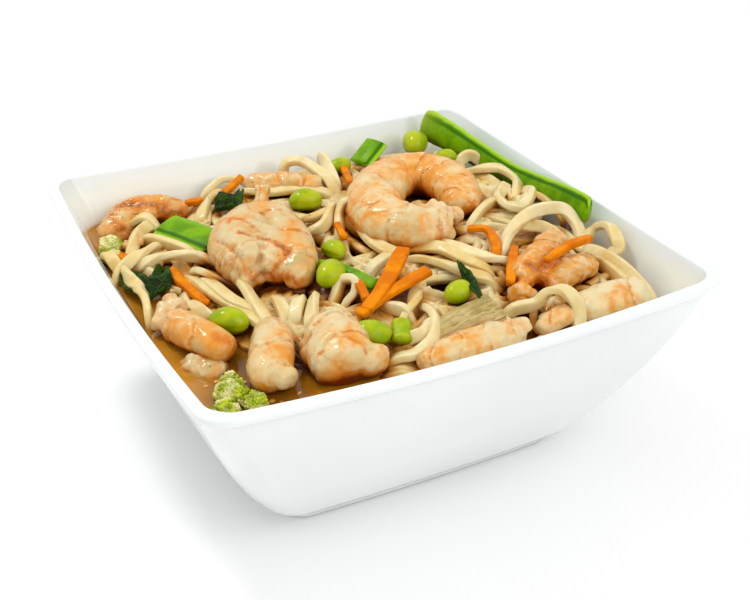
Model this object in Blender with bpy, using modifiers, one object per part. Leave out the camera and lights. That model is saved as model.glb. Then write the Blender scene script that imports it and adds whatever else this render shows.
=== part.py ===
"""A square porcelain bowl of prawn noodle soup, in metres, +Z up.

The origin is the bottom centre of the bowl's foot. Sizes below are in millimetres.
X and Y run along the bowl's sides, and every piece of food is a solid of its own.
"""

import math
import random

import bmesh
import bpy
from mathutils import Vector, noise
from mathutils.bvhtree import BVHTree

MM = 0.001
GAP = 0.4  # left between pieces that touch
SHARPEST = 1.7  # how many gaps a sharp corner of a grown copy moves out, at most
SOLVER = "MANIFOLD"  # the exact solver leaves open edges and scraps where these pieces graze

# Bowl
RIM_HALF = 90.0  # half the outside width, measured at the corners
BOWL_HEIGHT = 75.0
SIDE_BOW = 2.6  # how far the middle of a side swells outward at the rim
RIM_DIP = 2.2  # how far the rim sinks at the middle of a side
WALL = 4.5
FOOT_HALF = 53.0
FOOT_HEIGHT = 5.2
RECESS_HEIGHT = 3.2  # of the hollow under the foot
FLOOR_TOP = 9.0
SIDE_STEPS = 4
CORNER_STEPS = 4

# Half width, corner radius and height, from the recess round the outside to the lip
OUTER_PROFILE = (
    (FOOT_HALF - 6.0, 7.0, RECESS_HEIGHT),
    (FOOT_HALF - 4.6, 7.5, 0.4),
    (FOOT_HALF - 4.2, 7.5, 0.0),
    (FOOT_HALF - 0.6, 8.5, 0.0),
    (FOOT_HALF, 9.0, 0.7),
    (FOOT_HALF + 0.2, 9.0, FOOT_HEIGHT - 1.0),
    (FOOT_HALF + 1.4, 9.5, FOOT_HEIGHT),
    (58.5, 10.0, 6.8),
    (63.2, 10.0, 14.2),
    (70.0, 9.5, 26.4),
    (78.0, 9.0, 43.4),
    (84.5, 8.5, 60.4),
    (87.8, 8.5, 71.4),
    (89.6, 9.0, 72.2),
    (RIM_HALF, 9.0, 73.6),
    (RIM_HALF - 0.8, 8.5, BOWL_HEIGHT),
)
# From the lip down the inside to the edge of the floor
INNER_PROFILE = (
    (RIM_HALF - WALL + 0.9, 7.5, BOWL_HEIGHT),
    (RIM_HALF - WALL, 7.0, BOWL_HEIGHT - 1.2),
    (80.2, 7.0, 60.4),
    (73.6, 7.5, 43.4),
    (65.2, 8.0, 26.4),
    (59.0, 9.0, 16.0),
    (53.0, 10.0, 10.6),
    (47.0, 10.0, FLOOR_TOP),
)

# Broth and the heap of noodles
BROTH_LEVEL = 56.0
HEAP_HALF = 76.5
HEAP_SEGMENTS = 30
HEAP_EDGE = 4.0  # strands that lie low stay this far inside the heap's edge
NOODLE_WIDTH = 4.8
NOODLE_HEIGHT = 4.0
NOODLE_SIDES = 6
NOODLE_SPACING = 4.6  # between the rings of a strand
FILLER_STRANDS = 30
FILLER_SEED = 11

BEAN_LENGTH = 12.5
BEAN_WIDTH = 9.4
PRAWN_SIDES = 12
PRAWN_FACES = 3.4  # for each millimetre of a prawn's length
PRAWN_END_FACES = 40.0
SIDE_LOBE_SHARE = 0.4  # of those faces, for each millimetre of its other lobes
PRAWN_FLATNESS = 0.82  # height of a prawn's body over its width
SKIN_VOXEL = 0.8
LEAF_THICKNESS = 1.0


def clear_scene():
    for obj in list(bpy.data.objects):
        bpy.data.objects.remove(obj, do_unlink=True)


def new_collection(name):
    collection = bpy.data.collections.new(name)
    bpy.context.scene.collection.children.link(collection)
    return collection


def new_material(name, colour, roughness, coat=0.0):
    material = bpy.data.materials.new(name)
    material.use_nodes = True
    shader = material.node_tree.nodes["Principled BSDF"]
    shader.inputs["Base Color"].default_value = (*colour, 1.0)
    shader.inputs["Roughness"].default_value = roughness
    shader.inputs["Metallic"].default_value = 0.0
    shader.inputs["Coat Weight"].default_value = coat
    material.diffuse_color = (*colour, 1.0)
    return material


def add_mesh(name, bm, collection, material=None):
    """Makes an object from a bmesh in millimetres."""
    bmesh.ops.scale(bm, vec=(MM, MM, MM), verts=bm.verts)
    bmesh.ops.recalc_face_normals(bm, faces=bm.faces)
    mesh = bpy.data.meshes.new(name)
    bm.to_mesh(mesh)
    bm.free()
    obj = bpy.data.objects.new(name, mesh)
    collection.objects.link(obj)
    if material:
        mesh.materials.append(material)
    return obj


def bake(obj):
    """Replaces an object's mesh by what its modifiers make of it."""
    graph = bpy.context.evaluated_depsgraph_get()
    mesh = bpy.data.meshes.new_from_object(obj.evaluated_get(graph))
    obj.modifiers.clear()
    obj.data = mesh


def keep_largest(obj):
    """Drops the loose scraps that a cut leaves."""
    bm = bmesh.new()
    bm.from_mesh(obj.data)
    unseen = set(bm.verts)
    islands = []
    while unseen:
        stack = [unseen.pop()]
        island = set(stack)
        while stack:
            for edge in stack.pop().link_edges:
                for vert in edge.verts:
                    if vert in unseen:
                        unseen.discard(vert)
                        island.add(vert)
                        stack.append(vert)
        islands.append(island)
    islands.sort(key=len)
    for island in islands[:-1]:
        bmesh.ops.delete(bm, geom=list(island), context="VERTS")
    bm.to_mesh(obj.data)
    bm.free()


def tree_of(obj):
    bm = bmesh.new()
    bm.from_mesh(obj.data)
    bmesh.ops.triangulate(bm, faces=bm.faces)
    tree = BVHTree.FromBMesh(bm)
    bm.free()
    return tree


def grown(obj, amount=GAP):
    """A hidden copy swollen by a gap, for cutting its neighbours."""
    bm = bmesh.new()
    bm.from_mesh(obj.data)
    bm.normal_update()
    moves = [vert.normal * amount * MM * min(SHARPEST, vert.calc_shell_factor()) for vert in bm.verts]
    for vert, move in zip(bm.verts, moves):
        vert.co += move
    mesh = bpy.data.meshes.new(obj.name + "_cutter")
    bm.to_mesh(mesh)
    bm.free()
    cutter = bpy.data.objects.new(obj.name + "_cutter", mesh)
    cutters.objects.link(cutter)
    cutter.hide_render = True
    cutter.display_type = "WIRE"
    return cutter


def combine(obj, other, operation):
    boolean = obj.modifiers.new(operation.title(), "BOOLEAN")
    boolean.operation = operation
    boolean.solver = SOLVER
    boolean.object = other
    bake(obj)
    keep_largest(obj)


# Bowl


def square_ring(half, radius, height, shrink=0.0):
    """A rounded square with bowed sides, whose points sink towards mid-side near the rim."""
    points = []
    reach = half - shrink
    turn = radius - shrink
    inner = reach - turn
    bow = SIDE_BOW * (0.5 + 0.5 * height / BOWL_HEIGHT)
    sink = RIM_DIP * max(0.0, (height - 30.0) / (BOWL_HEIGHT - 30.0)) ** 2
    for corner in range(4):
        angle = math.radians(90.0 * corner)
        corner_points = []
        for step in range(CORNER_STEPS + 1):
            a = math.radians(90.0) * step / CORNER_STEPS
            corner_points.append((inner + turn * math.cos(a), inner + turn * math.sin(a)))
        for step in range(1, SIDE_STEPS):
            across = inner - 2.0 * inner * step / SIDE_STEPS
            corner_points.append((across, reach))
        for x, y in corner_points:
            swell_x = x * (1.0 + bow / half * (1.0 - (y / half) ** 2))
            swell_y = y * (1.0 + bow / half * (1.0 - (x / half) ** 2))
            along = min(abs(x), abs(y)) / max(abs(x), abs(y))
            points.append(
                Vector(
                    (
                        swell_x * math.cos(angle) - swell_y * math.sin(angle),
                        swell_x * math.sin(angle) + swell_y * math.cos(angle),
                        height - sink * (1.0 - along**2),
                    )
                )
            )
    return points


def loft(rings):
    """Joins rings of equal count, and closes both ends with a fan."""
    bm = bmesh.new()
    rows = [[bm.verts.new(point) for point in ring] for ring in rings]
    count = len(rows[0])
    for lower, upper in zip(rows, rows[1:]):
        for i in range(count):
            j = (i + 1) % count
            bm.faces.new((lower[i], lower[j], upper[j], upper[i]))
    for row in (rows[0], rows[-1]):
        middle = bm.verts.new(sum((vert.co for vert in row), Vector()) / count)
        for i in range(count):
            bm.faces.new((row[i], row[(i + 1) % count], middle))
    return bm


def make_bowl():
    rings = [square_ring(*step) for step in OUTER_PROFILE + INNER_PROFILE]
    bowl = add_mesh("bowl", loft(rings), parts, porcelain)
    bowl.data.shade_smooth()
    bowl.data.set_sharp_from_angle(angle=math.radians(40))
    return bowl


def inside_at(height):
    """Half width and corner radius of the bowl's inside at a height."""
    steps = INNER_PROFILE[::-1]
    for (low_half, low_turn, low), (high_half, high_turn, high) in zip(steps, steps[1:]):
        if height <= high:
            share = max(0.0, (height - low) / (high - low))
            return low_half + share * (high_half - low_half), low_turn + share * (high_turn - low_turn)
    return steps[-1][0], steps[-1][1]


def make_inside(name, top):
    """The space inside the bowl up to a height, a gap clear of its wall."""
    rings = []
    for half, turn, height in INNER_PROFILE[::-1]:
        if height < top:
            rings.append(square_ring(half, turn, height, GAP))
    half, turn = inside_at(top)
    rings.append(square_ring(half, turn, top, GAP))
    for ring in rings:
        for point in ring:
            point.z = max(point.z, FLOOR_TOP) + GAP if point.z < top - 1.0 else top
    return add_mesh(name, loft(rings), parts)


# Heap of noodles


def heap_height(x, y):
    """Height of the noodles: low at the left, by the broth, and banked up under the long pod."""
    rise = 1.0 / (1.0 + math.exp(-(x + 0.35 * y + 32.0) / 14.0))
    mound = math.exp(-(((x - 25.0) / 40.0) ** 2) - ((y - 5.0) / 40.0) ** 2)
    front = math.exp(-(((y + 74.0) / 16.0) ** 2))
    bank = math.exp(-(((x - 78.0) / 14.0) ** 2) - ((y - 25.0) / 42.0) ** 2)
    return BROTH_LEVEL + 6.0 * rise + 3.5 * mound - 3.0 * front * rise + 3.6 * bank


def heap_reach(angle):
    """Distance from the middle to the heap's uneven edge."""
    c = abs(math.cos(angle))
    s = abs(math.sin(angle))
    reach = HEAP_HALF / (c**6 + s**6) ** (1.0 / 6.0)
    for middle, width, depth in ((223.0, 27.0, 0.29), (176.0, 22.0, 0.09)):
        away = (math.degrees(angle) - middle + 180.0) % 360.0 - 180.0
        reach *= 1.0 - depth * math.exp(-((away / width) ** 2))
    return reach - 1.4 - 0.8 * math.sin(5.0 * angle + 1.0) - 0.6 * math.sin(11.0 * angle)


def make_core():
    """The middle of the heap, from the bowl's floor to just under the top strands."""
    angles = [math.tau * i / HEAP_SEGMENTS for i in range(HEAP_SEGMENTS)]
    rings = []
    for share, height in ((0.56, FLOOR_TOP + 2.0), (0.82, 34.0), (0.955, 51.0)):
        ring = []
        for angle in angles:
            reach = heap_reach(angle) * share
            ring.append(Vector((reach * math.cos(angle), reach * math.sin(angle), height)))
        rings.append(ring)
    for share in (1.0, 0.94, 0.8, 0.62, 0.42, 0.21):
        ring = []
        for angle in angles:
            reach = heap_reach(angle) * share
            x = reach * math.cos(angle)
            y = reach * math.sin(angle)
            lump = 1.6 * noise.noise(Vector((x, y, 0.0)) / 11.0)
            edge = 1.5 if share == 1.0 else 0.0
            top = max(heap_height(x, y) + lump - edge, BROTH_LEVEL + 0.8)
            ring.append(Vector((x, y, top)))
        rings.append(ring)
    return add_mesh("noodles", loft(rings), parts, noodle_cream)


# Pieces swept along a path


def smooth_path(points, count):
    """Evenly spaced points on a smooth curve through the given ones."""
    points = [Vector(point) for point in points]
    ends = [2 * points[0] - points[1], *points, 2 * points[-1] - points[-2]]
    fine = []
    for a, b, c, d in zip(ends, ends[1:], ends[2:], ends[3:]):
        for step in range(16):
            t = step / 16.0
            fine.append(
                0.5 * (2 * b + (c - a) * t + (2 * a - 5 * b + 4 * c - d) * t**2
                       + (3 * b - a - 3 * c + d) * t**3)
            )
    fine.append(points[-1])
    lengths = [0.0]
    for a, b in zip(fine, fine[1:]):
        lengths.append(lengths[-1] + (b - a).length)
    stations = count if isinstance(count, list) else [i / (count - 1) for i in range(count)]
    result = []
    index = 0
    for share in stations:
        target = share * lengths[-1]
        while index < len(fine) - 2 and lengths[index + 1] < target:
            index += 1
        span = max(lengths[index + 1] - lengths[index], 1e-9)
        share = min(1.0, max(0.0, (target - lengths[index]) / span))
        result.append(fine[index].lerp(fine[index + 1], share))
    return result


def sweep(name, path, width, height, sides=8, scales=None, tilt=0.0, square=False):
    """A curve with a flat section of the given width and height, made a closed mesh."""
    section = bpy.data.curves.new(name + "_section", "CURVE")
    section.dimensions = "2D"
    outline = section.splines.new("POLY")
    outline.points.add(sides - 1)
    for i, point in enumerate(outline.points):
        a = math.tau * (i + 0.5) / sides
        reach = math.sqrt(2.0) if square else 1.0
        point.co = (
            0.5 * width * MM * reach * math.cos(a),
            0.5 * height * MM * reach * math.sin(a),
            0.0,
            1.0,
        )
    outline.use_cyclic_u = True
    guide = bpy.data.objects.new(name + "_section", section)
    cutters.objects.link(guide)
    guide.hide_render = True

    curve = bpy.data.curves.new(name, "CURVE")
    curve.dimensions = "3D"
    curve.twist_mode = "Z_UP"
    curve.bevel_mode = "OBJECT"
    curve.bevel_object = guide
    curve.use_fill_caps = True
    spline = curve.splines.new("POLY")
    spline.points.add(len(path) - 1)
    for i, (point, place) in enumerate(zip(spline.points, path)):
        point.co = (*(Vector(place) * MM), 1.0)
        point.radius = scales[i] if scales else 1.0
        point.tilt = math.radians(tilt)
    source = bpy.data.objects.new(name, curve)
    cutters.objects.link(source)
    graph = bpy.context.evaluated_depsgraph_get()
    mesh = bpy.data.meshes.new_from_object(source.evaluated_get(graph))
    bpy.data.objects.remove(source, do_unlink=True)
    bpy.data.objects.remove(guide, do_unlink=True)
    bm = bmesh.new()
    bm.from_mesh(mesh)
    bmesh.ops.remove_doubles(bm, verts=bm.verts, dist=0.00001)
    bmesh.ops.scale(bm, vec=(1 / MM, 1 / MM, 1 / MM), verts=bm.verts)
    return add_mesh(name, bm, parts)


def melt(name, pieces, faces, material, relief):
    """One skin round overlapping pieces, with few faces and a little uneven relief."""
    bm = bmesh.new()
    for piece in pieces:
        bm.from_mesh(piece.data)
        bpy.data.objects.remove(piece, do_unlink=True)
    bmesh.ops.scale(bm, vec=(1 / MM, 1 / MM, 1 / MM), verts=bm.verts)
    bmesh.ops.triangulate(bm, faces=bm.faces)
    obj = add_mesh(name, bm, parts, material)
    remesh = obj.modifiers.new("Skin", "REMESH")
    remesh.mode = "VOXEL"
    remesh.voxel_size = SKIN_VOXEL * MM
    bake(obj)
    for vert in obj.data.vertices:
        vert.co += vert.normal * relief * MM * noise.noise(vert.co / MM / 3.0)
    obj.data.update()
    obj.data.calc_loop_triangles()
    decimate = obj.modifiers.new("Few faces", "DECIMATE")
    decimate.ratio = faces / len(obj.data.loop_triangles)
    decimate.use_collapse_triangulate = True
    bake(obj)
    keep_largest(obj)
    obj.data.materials.clear()
    obj.data.materials.append(material)
    return obj


# Prawns: lobes grown together. A lobe is a path with half widths, and a prawn's first lobe
# runs from its thick cut end to its tail
PRAWNS = (
    (
        ((31, -3, 70.5, 7.5), (25, -6, 71, 9), (17, -3, 71.5, 10.6), (13, 8, 71, 11),
         (18, 24, 70.5, 11), (29, 36, 70, 10.6), (40, 39.5, 70, 10.2), (48, 34, 70.5, 10),
         (50, 23, 71, 9.6), (48, 12, 70.5, 8.4), (43, 3, 70, 6.4)),
        ((41, 3, 70, 3.8), (36, -3, 69.5, 3.2)),
        ((31, 3, 72, 5.5), (29, -5, 74, 5.6), (22, -8, 74, 5.2)),
    ),
    (
        ((-35, 4, 66, 10), (-39, 9, 67, 11.4), (-37, 18, 67.5, 12.4), (-30, 27, 68.5, 10.5),
         (-24, 27, 69.5, 8.8), (-21.5, 17, 69.5, 7.8), (-23, 5, 68.5, 7.4), (-26, -5, 67, 6.6),
         (-29.5, -13, 64, 4.4)),
        ((-30, 18, 68, 9.5), (-31, 0, 66.5, 8.5), (-33, -7, 64, 6)),
        ((-24, 34, 71, 3.2), (-21, 39, 74, 2.8), (-19, 43, 76.5, 3.4)),
        ((-46, 14, 64.5, 5), (-42, 4, 64.5, 6.5), (-38, -3, 63.5, 6)),
    ),
    (
        ((-73, -9, 61, 5.4), (-71, -17, 61, 6.4), (-66, -29, 60.5, 6.2), (-62, -36, 59, 4.8)),
        ((-74, -10, 60, 4.2), (-78, -5, 60.5, 3.2)),
        ((-72, -8, 61, 4), (-74.5, -0.5, 62, 3.2)),
        ((-70, -7, 61.5, 4), (-70, 3.5, 61.5, 3)),
        ((-73, -15, 59.5, 4.5), (-76.5, -18, 58, 4.2)),
    ),
    (
        ((-45, -30, 61.5, 5.4), (-49, -37, 62.5, 6.6), (-52, -44, 62, 7.2), (-56, -52, 60.5, 7.3),
         (-57, -59, 58.5, 6.4)),
        ((-54, -55, 60.5, 5.4), (-52, -60, 59.5, 4.8)),
    ),
    (
        ((-29, -39, 63, 6.4), (-32, -46, 64, 9.2), (-34, -55, 63, 10.8), (-35, -65, 60.5, 10.4)),
        ((-38, -50, 61.5, 7), (-44, -46, 60.5, 5.8)),
        ((-28, -57, 62.5, 7), (-25, -66, 60.5, 6.5)),
    ),
    (
        ((-71, 58, 58.5, 6), (-69, 66, 60, 7), (-60, 72, 61.5, 7.4), (-50, 70, 62, 6.6),
         (-43, 64, 61, 5)),
        ((-72, 52, 58.5, 3), (-67, 50, 60, 2.8), (-64, 54, 61.5, 2.6)),
        ((-62, 66, 64, 4.2), (-53, 64, 64.5, 4.2)),
    ),
    (
        ((-16, 69, 65.3, 4.8), (-7, 62, 66.8, 5.7), (4, 56, 66.8, 5), (10, 52, 66.2, 4)),
    ),
    (
        ((65, -29, 67.5, 3.4), (59, -33, 69.5, 4.8), (51, -39, 69.5, 5.4), (42, -44, 68, 5.8),
         (35, -49, 66.5, 5)),
        ((42, -51, 66, 5.4), (51, -50, 67, 6.2), (60, -49, 67, 5.6), (66, -46, 66, 4.2)),
        ((38, -52, 65, 5.4), (30, -53, 64, 4.8)),
    ),
    (
        ((72, -68, 63.5, 5.4), (66, -69, 64.5, 6.8), (57, -69.5, 64.5, 7.4), (49, -69, 64, 6.8),
         (44, -69, 63, 5.4)),
        ((43, -68, 63.5, 4.6), (35, -69, 62.5, 4), (29, -71, 61, 2.8)),
        ((40, -65, 63, 3), (32, -67, 62, 2.4)),
    ),
    (
        ((23, -70, 61.5, 4.6), (15, -71, 63, 6.4), (4, -70.5, 62.5, 6.6), (-5, -69.5, 61.5, 5.6),
         (-14, -69, 60, 4)),
        ((20, -70, 64, 3.6), (26, -70, 64.5, 3.4)),
    ),
    (
        ((-74, -26, 54, 5.0), (-71, -33, 54.4, 6), (-66, -40, 54, 5)),
        ((-75, -27, 54, 3.6), (-76, -33, 54, 3.4)),
    ),
)


def make_prawn(index, lobes):
    """Lobes melted into one skin, each a flattened tube with rounded ends."""
    name = f"prawn_{index + 1}"
    pieces = []
    faces = PRAWN_END_FACES
    for number, lobe in enumerate(lobes):
        length = sum((Vector(b[:3]) - Vector(a[:3])).length for a, b in zip(lobe, lobe[1:]))
        end = min(0.4, PRAWN_FLATNESS * min(lobe[0][3], lobe[-1][3]) / length)
        count = 2 * len(lobe)
        inner = [end + (1.0 - 2.0 * end) * i / (count - 1) for i in range(count)]
        rings = smooth_path(lobe, [0.0, 0.3 * end, *inner, 1.0 - 0.3 * end, 1.0])
        scales = [ring[3] for ring in rings]
        for place, share in ((0, 0.3), (1, 0.75), (-2, 0.75), (-1, 0.3)):
            scales[place] *= share
        path = [ring.to_3d() for ring in rings]
        pieces.append(sweep(f"{name}_{number}", path, 2.0, 2.0 * PRAWN_FLATNESS, PRAWN_SIDES, scales))
        faces += PRAWN_FACES * length * (1.0 if number == 0 else SIDE_LOBE_SHARE)
    return melt(name, pieces, faces, prawn_pink, relief=0.4)


# Edamame beans: place, heading in degrees, and size over a full bean
BEANS = (
    ((-22, -52.5, 65), -30, 1.05),
    ((-19.5, -16, 68), 50, 1.05),
    ((-3, 40, 68), 160, 1.02),
    ((-57.5, -20, 61), 150, 1.1),
    ((14, -44, 66.5), 25, 0.9),
    ((24, 67, 67), 10, 0.8),
    ((59.5, 70, 69), 70, 1.15),
    ((64, 50, 69), 150, 0.75),
    ((-10, 1, 66.5), 110, 0.8),
)


def make_bean(index, place, heading, size):
    bm = bmesh.new()
    bmesh.ops.create_icosphere(bm, subdivisions=2, radius=1.0)
    turn = math.radians(heading)
    for vert in bm.verts:
        x = vert.co.x * 0.5 * BEAN_LENGTH * size
        y = vert.co.y * 0.5 * BEAN_WIDTH * size - 0.9 * (1.0 - vert.co.x**2)
        z = vert.co.z * 0.46 * BEAN_WIDTH * size
        vert.co = (
            place[0] + x * math.cos(turn) - y * math.sin(turn),
            place[1] + x * math.sin(turn) + y * math.cos(turn),
            place[2] + z,
        )
    bean = add_mesh(f"bean_{index + 1}", bm, parts, bean_green)
    bean.data.shade_smooth()
    return bean


# Pea pods: path, width, thickness and tilt
PODS = (
    ([(69.5, 79, 73), (74, 64, 71), (78, 45, 68.5), (80.5, 24, 67.5), (81, 6, 69.5), (80.5, -10, 72),
      (80, -25, 73.6)], 10.4, 4.0, 78),
    ([(-54.5, 55, 63), (-49, 43, 63.6), (-43, 30, 63.6)], 12.5, 3.0, 14),
    ([(33, 67, 65.5), (44, 72, 72)], 11.0, 3.0, 0),
    ([(-22, -1, 65), (-14, -14, 66.5), (-9, -30, 67)], 5.6, 2.4, 35),
)
# Carrot strips: path, width and thickness
CARROTS = (
    ([(7, -20, 73), (-8, -34, 69), (-18, -41, 66)], 5.0, 2.4),
    ([(9, -34, 71), (-7, -37, 68), (-21, -41, 65)], 4.4, 2.2),
    ([(-13.5, -26, 68), (-15, -36, 66.5)], 3.2, 2.4),
    ([(-18, 66, 71), (-27, 64, 66)], 3.4, 2.2),
    ([(38, -10, 69), (43, -15, 70), (41, -24, 69.5), (37, -32, 68)], 3.2, 2.4),
    ([(45, -31, 69.5), (38, -40, 69), (31, -50, 68)], 3.2, 2.8),
    ([(67, -44, 74), (60, -46, 75), (54, -47, 74.6), (44, -51, 74)], 2.8, 2.4),
    ([(-63, 24, 60.5), (-61, 10, 60), (-59, -4, 60)], 3.6, 2.6),
    ([(25, 66, 67), (18, 44, 69)], 3.0, 2.2),
    ([(-2, 15, 69), (-4, 4, 68.5)], 2.6, 2.2),
    ([(-76, 46, 60), (-73, 39, 59.5)], 3.6, 2.4),
    ([(-41, 71, 62), (-34, 68, 63)], 3.2, 2.2),
)


def make_pod(index, path, width, thickness, tilt):
    count = max(3, 2 * len(path) - 1)
    scales = [1.0] * count
    if index == 0:
        scales[:4] = [1.25, 1.3, 1.2, 1.1]
    pod = sweep(f"pod_{index + 1}", smooth_path(path, count), width, thickness, 8, scales, tilt)
    pod.data.materials.append(pod_green)
    return pod


def make_carrot(index, path, width, thickness):
    count = 2 if len(path) == 2 else 2 * len(path) - 1
    carrot = sweep(f"carrot_{index + 1}", smooth_path(path, count), width, thickness, 4, square=True)
    carrot.data.materials.append(carrot_orange)
    return carrot


FLORET_FACES = 65.0  # for each tuft
# Broccoli florets: middle and radius of each tuft
FLORETS = (
    (((-70, -55, 57.5), 5.6), ((-74, -61, 56.5), 4.6), ((-65, -61, 56.0), 4.6), ((-68, -49, 58.5), 3.4)),
    (((-76, 51, 60.5), 4.4), ((-77, 45, 58.5), 3.8)),
)


def make_broccoli(index, tufts):
    pieces = []
    for tuft, (place, radius) in enumerate(tufts):
        bm = bmesh.new()
        bmesh.ops.create_icosphere(bm, subdivisions=3, radius=radius)
        for vert in bm.verts:
            vert.co = vert.co * (1.0 + 0.16 * noise.noise(vert.co * 0.7 + Vector((tuft, index, 0))))
            vert.co += Vector(place)
        pieces.append(add_mesh(f"tuft_{index}_{tuft}", bm, parts))
    return melt(f"broccoli_{index + 1}", pieces, FLORET_FACES * len(tufts), broccoli_green, relief=1.2)


# Dark leaves: middle, length, width, heading, lift across the leaf and height of its waves
LEAVES = (
    ((-28, 56, 66), 14.0, 9.0, 25, 3.0, 1.6),
    ((-69, 17, 60.5), 15.0, 8.0, 60, 3.0, 1.2),
    ((-75.5, 22, 59), 22.0, 8.0, 95, 1.0, 0.9),
    ((19, -44, 68.5), 21.0, 4.2, 82, 4.0, 0.4),
)


def make_leaf(index, place, length, width, heading, lift, wave):
    """A thin wavy sheet, split into triangles and then given its thickness."""
    bm = bmesh.new()
    bmesh.ops.create_grid(bm, x_segments=6, y_segments=2, size=0.5)
    turn = math.radians(heading)
    for vert in bm.verts:
        along = vert.co.x
        across = vert.co.y * (1.15 - (2.0 * along) ** 2 * 0.75)
        z = lift * along + wave * math.sin(9.0 * along + 4.0 * vert.co.y + index)
        z += lift * 0.6 * abs(vert.co.y)
        x = along * length
        y = across * width
        vert.co = (
            place[0] + x * math.cos(turn) - y * math.sin(turn),
            place[1] + x * math.sin(turn) + y * math.cos(turn),
            place[2] + z,
        )
    bmesh.ops.triangulate(bm, faces=bm.faces)
    leaf = add_mesh(f"leaf_{index + 1}", bm, parts, leaf_green)
    solid = leaf.modifiers.new("Thickness", "SOLIDIFY")
    solid.thickness = LEAF_THICKNESS * MM
    solid.offset = 0.0
    bake(leaf)
    return leaf


# Strands of noodle that show, as places in plan and height above the heap
STRANDS = (
    [(-76, 44, 3), (-75, 35, 2.5), (-74, 26, 2.5), (-73, 15, 2.5), (-70, 6, 2)],
    [(-75, 33, 2), (-68, 37, 3), (-61, 43, 2)],
    [(-63, 51, 2), (-56, 42, 2.5), (-50, 34, 1)],
    [(-69, 35, 1), (-64, 32, 3.5), (-57, 27, 4), (-51, 22, 4), (-44, 12, 2)],
    [(-54, 19, 1), (-50, 10, 2.5), (-45, 2, 1)],
    [(-57, 15, 1), (-54, -1, 2.5), (-50, -14, 2.5), (-44, -26, 1)],
    [(-50, 9, 1), (-48, -9, 3), (-42, -20, 1)],
    [(-41, -10, 1), (-37, -18, 2.5), (-33, -30, 1)],
    [(-33, -17, 1), (-27, -22, 3), (-24, -34, 1)],
    [(0, 70, 1), (2, 71, 6), (7, 68, 8), (12, 61, 5), (14, 48, 1)],
    [(-19, 58, 1), (-10, 54, 2.5), (1, 48, 2.5), (11, 44, 1)],
    [(-35, 60, 1), (-32, 72, 2.5), (-22, 76, 3), (-12, 76, 1)],
    [(-12, 28, 1), (-6, 23, 3), (2, 27, 3), (4, 36, 1)],
    [(-12, 17, 1), (-5, 15, 3), (3, 21, 3), (4, 28, 1)],
    [(-2, 12, 1), (1, 20, 4), (5, 22, 5), (4, 12, 2)],
    [(4, 0, 1), (3, -9, 2.5), (8, -16, 2.5), (14, -15, 1)],
    [(14, -18, 1), (22, -19, 3), (28, -28, 3), (33, -38, 1)],
    [(28, -15, 1), (34, -22, 3), (33, -34, 3), (38, -40, 1)],
    [(10, -20, 1), (17, -28, 3), (22, -36, 2.5), (27, -42, 1)],
    [(64, 38, 1), (70, 35, 4), (73, 26, 4), (68, 15, 3), (60, 18, 1)],
    [(72, 16, 1), (63, 7, 3), (61, -3, 4), (67, -3, 3), (72, 6, 2), (71, 13, 1)],
    [(47, -18, 1), (48, -14, 5), (54, -12, 9), (63, -12, 9), (71, -16, 6), (72, -24, 1)],
    [(53, -14, 1), (58, -17, 2.5), (63, -20, 2.5), (68, -24, 1)],
    [(70, 5, 1), (74, -2, 3), (76, -10, 3), (75, -17, 1)],
    [(71, -33, 1), (76, -34, 6), (77, -40, 7), (75, -46, 3), (72, -48, 1)],
    [(67, -40, 1), (71, -48, 3), (72, -58, 3), (71, -66, 1)],
    [(-15, -62, 1), (-8, -61, 2), (-1, -57, 3), (1, -50, 3), (1, -43, 1)],
    [(-12, -55, 1), (-6, -56, 3), (-1, -52, 1)],
    [(-21, -24, 1), (-18, -20, 5), (-14, -21, 6), (-14, -29, 3), (-19, -30, 1)],
    [(5, -30, 1), (0, -43, 3), (-4, -51, 1)],
    [(27, 61, 1), (33, 60, 3), (42, 62, 3), (50, 66, 1)],
    [(56, 38, 1), (62, 30, 3), (60, 20, 3), (56, 10, 1)],
)


def free_stretch(path, blocked):
    """The longest run of a path's points that touches nothing."""
    best = []
    run = []
    for point in path + [None]:
        if point is not None and not blocked(point):
            run.append(point)
            continue
        if len(run) > len(best):
            best = run
        run = []
    return best


def strand_path(strand):
    shape = [Vector((x, y, heap_height(x, y) + lift)) for x, y, lift in strand]
    length = sum((b - a).length for a, b in zip(shape, shape[1:]))
    return smooth_path(shape, max(5, round(length / NOODLE_SPACING)))


def filler_strands():
    """Short curved strands over the rest of the heap, in seeded places."""
    draw = random.Random(FILLER_SEED)
    strands = []
    while len(strands) < FILLER_STRANDS:
        angle = draw.uniform(0.0, math.tau)
        share = draw.uniform(0.35, 0.92)
        x = heap_reach(angle) * share * math.cos(angle)
        y = heap_reach(angle) * share * math.sin(angle)
        heading = draw.uniform(0.0, math.tau)
        bend = draw.uniform(-0.05, 0.05)
        strand = []
        for step in range(5):
            strand.append((x, y, (0.6, 2.2, 2.8, 2.2, 0.6)[step]))
            x += 7.5 * math.cos(heading)
            y += 7.5 * math.sin(heading)
            heading += bend * 7.5
        strands.append(strand)
    return strands


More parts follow.
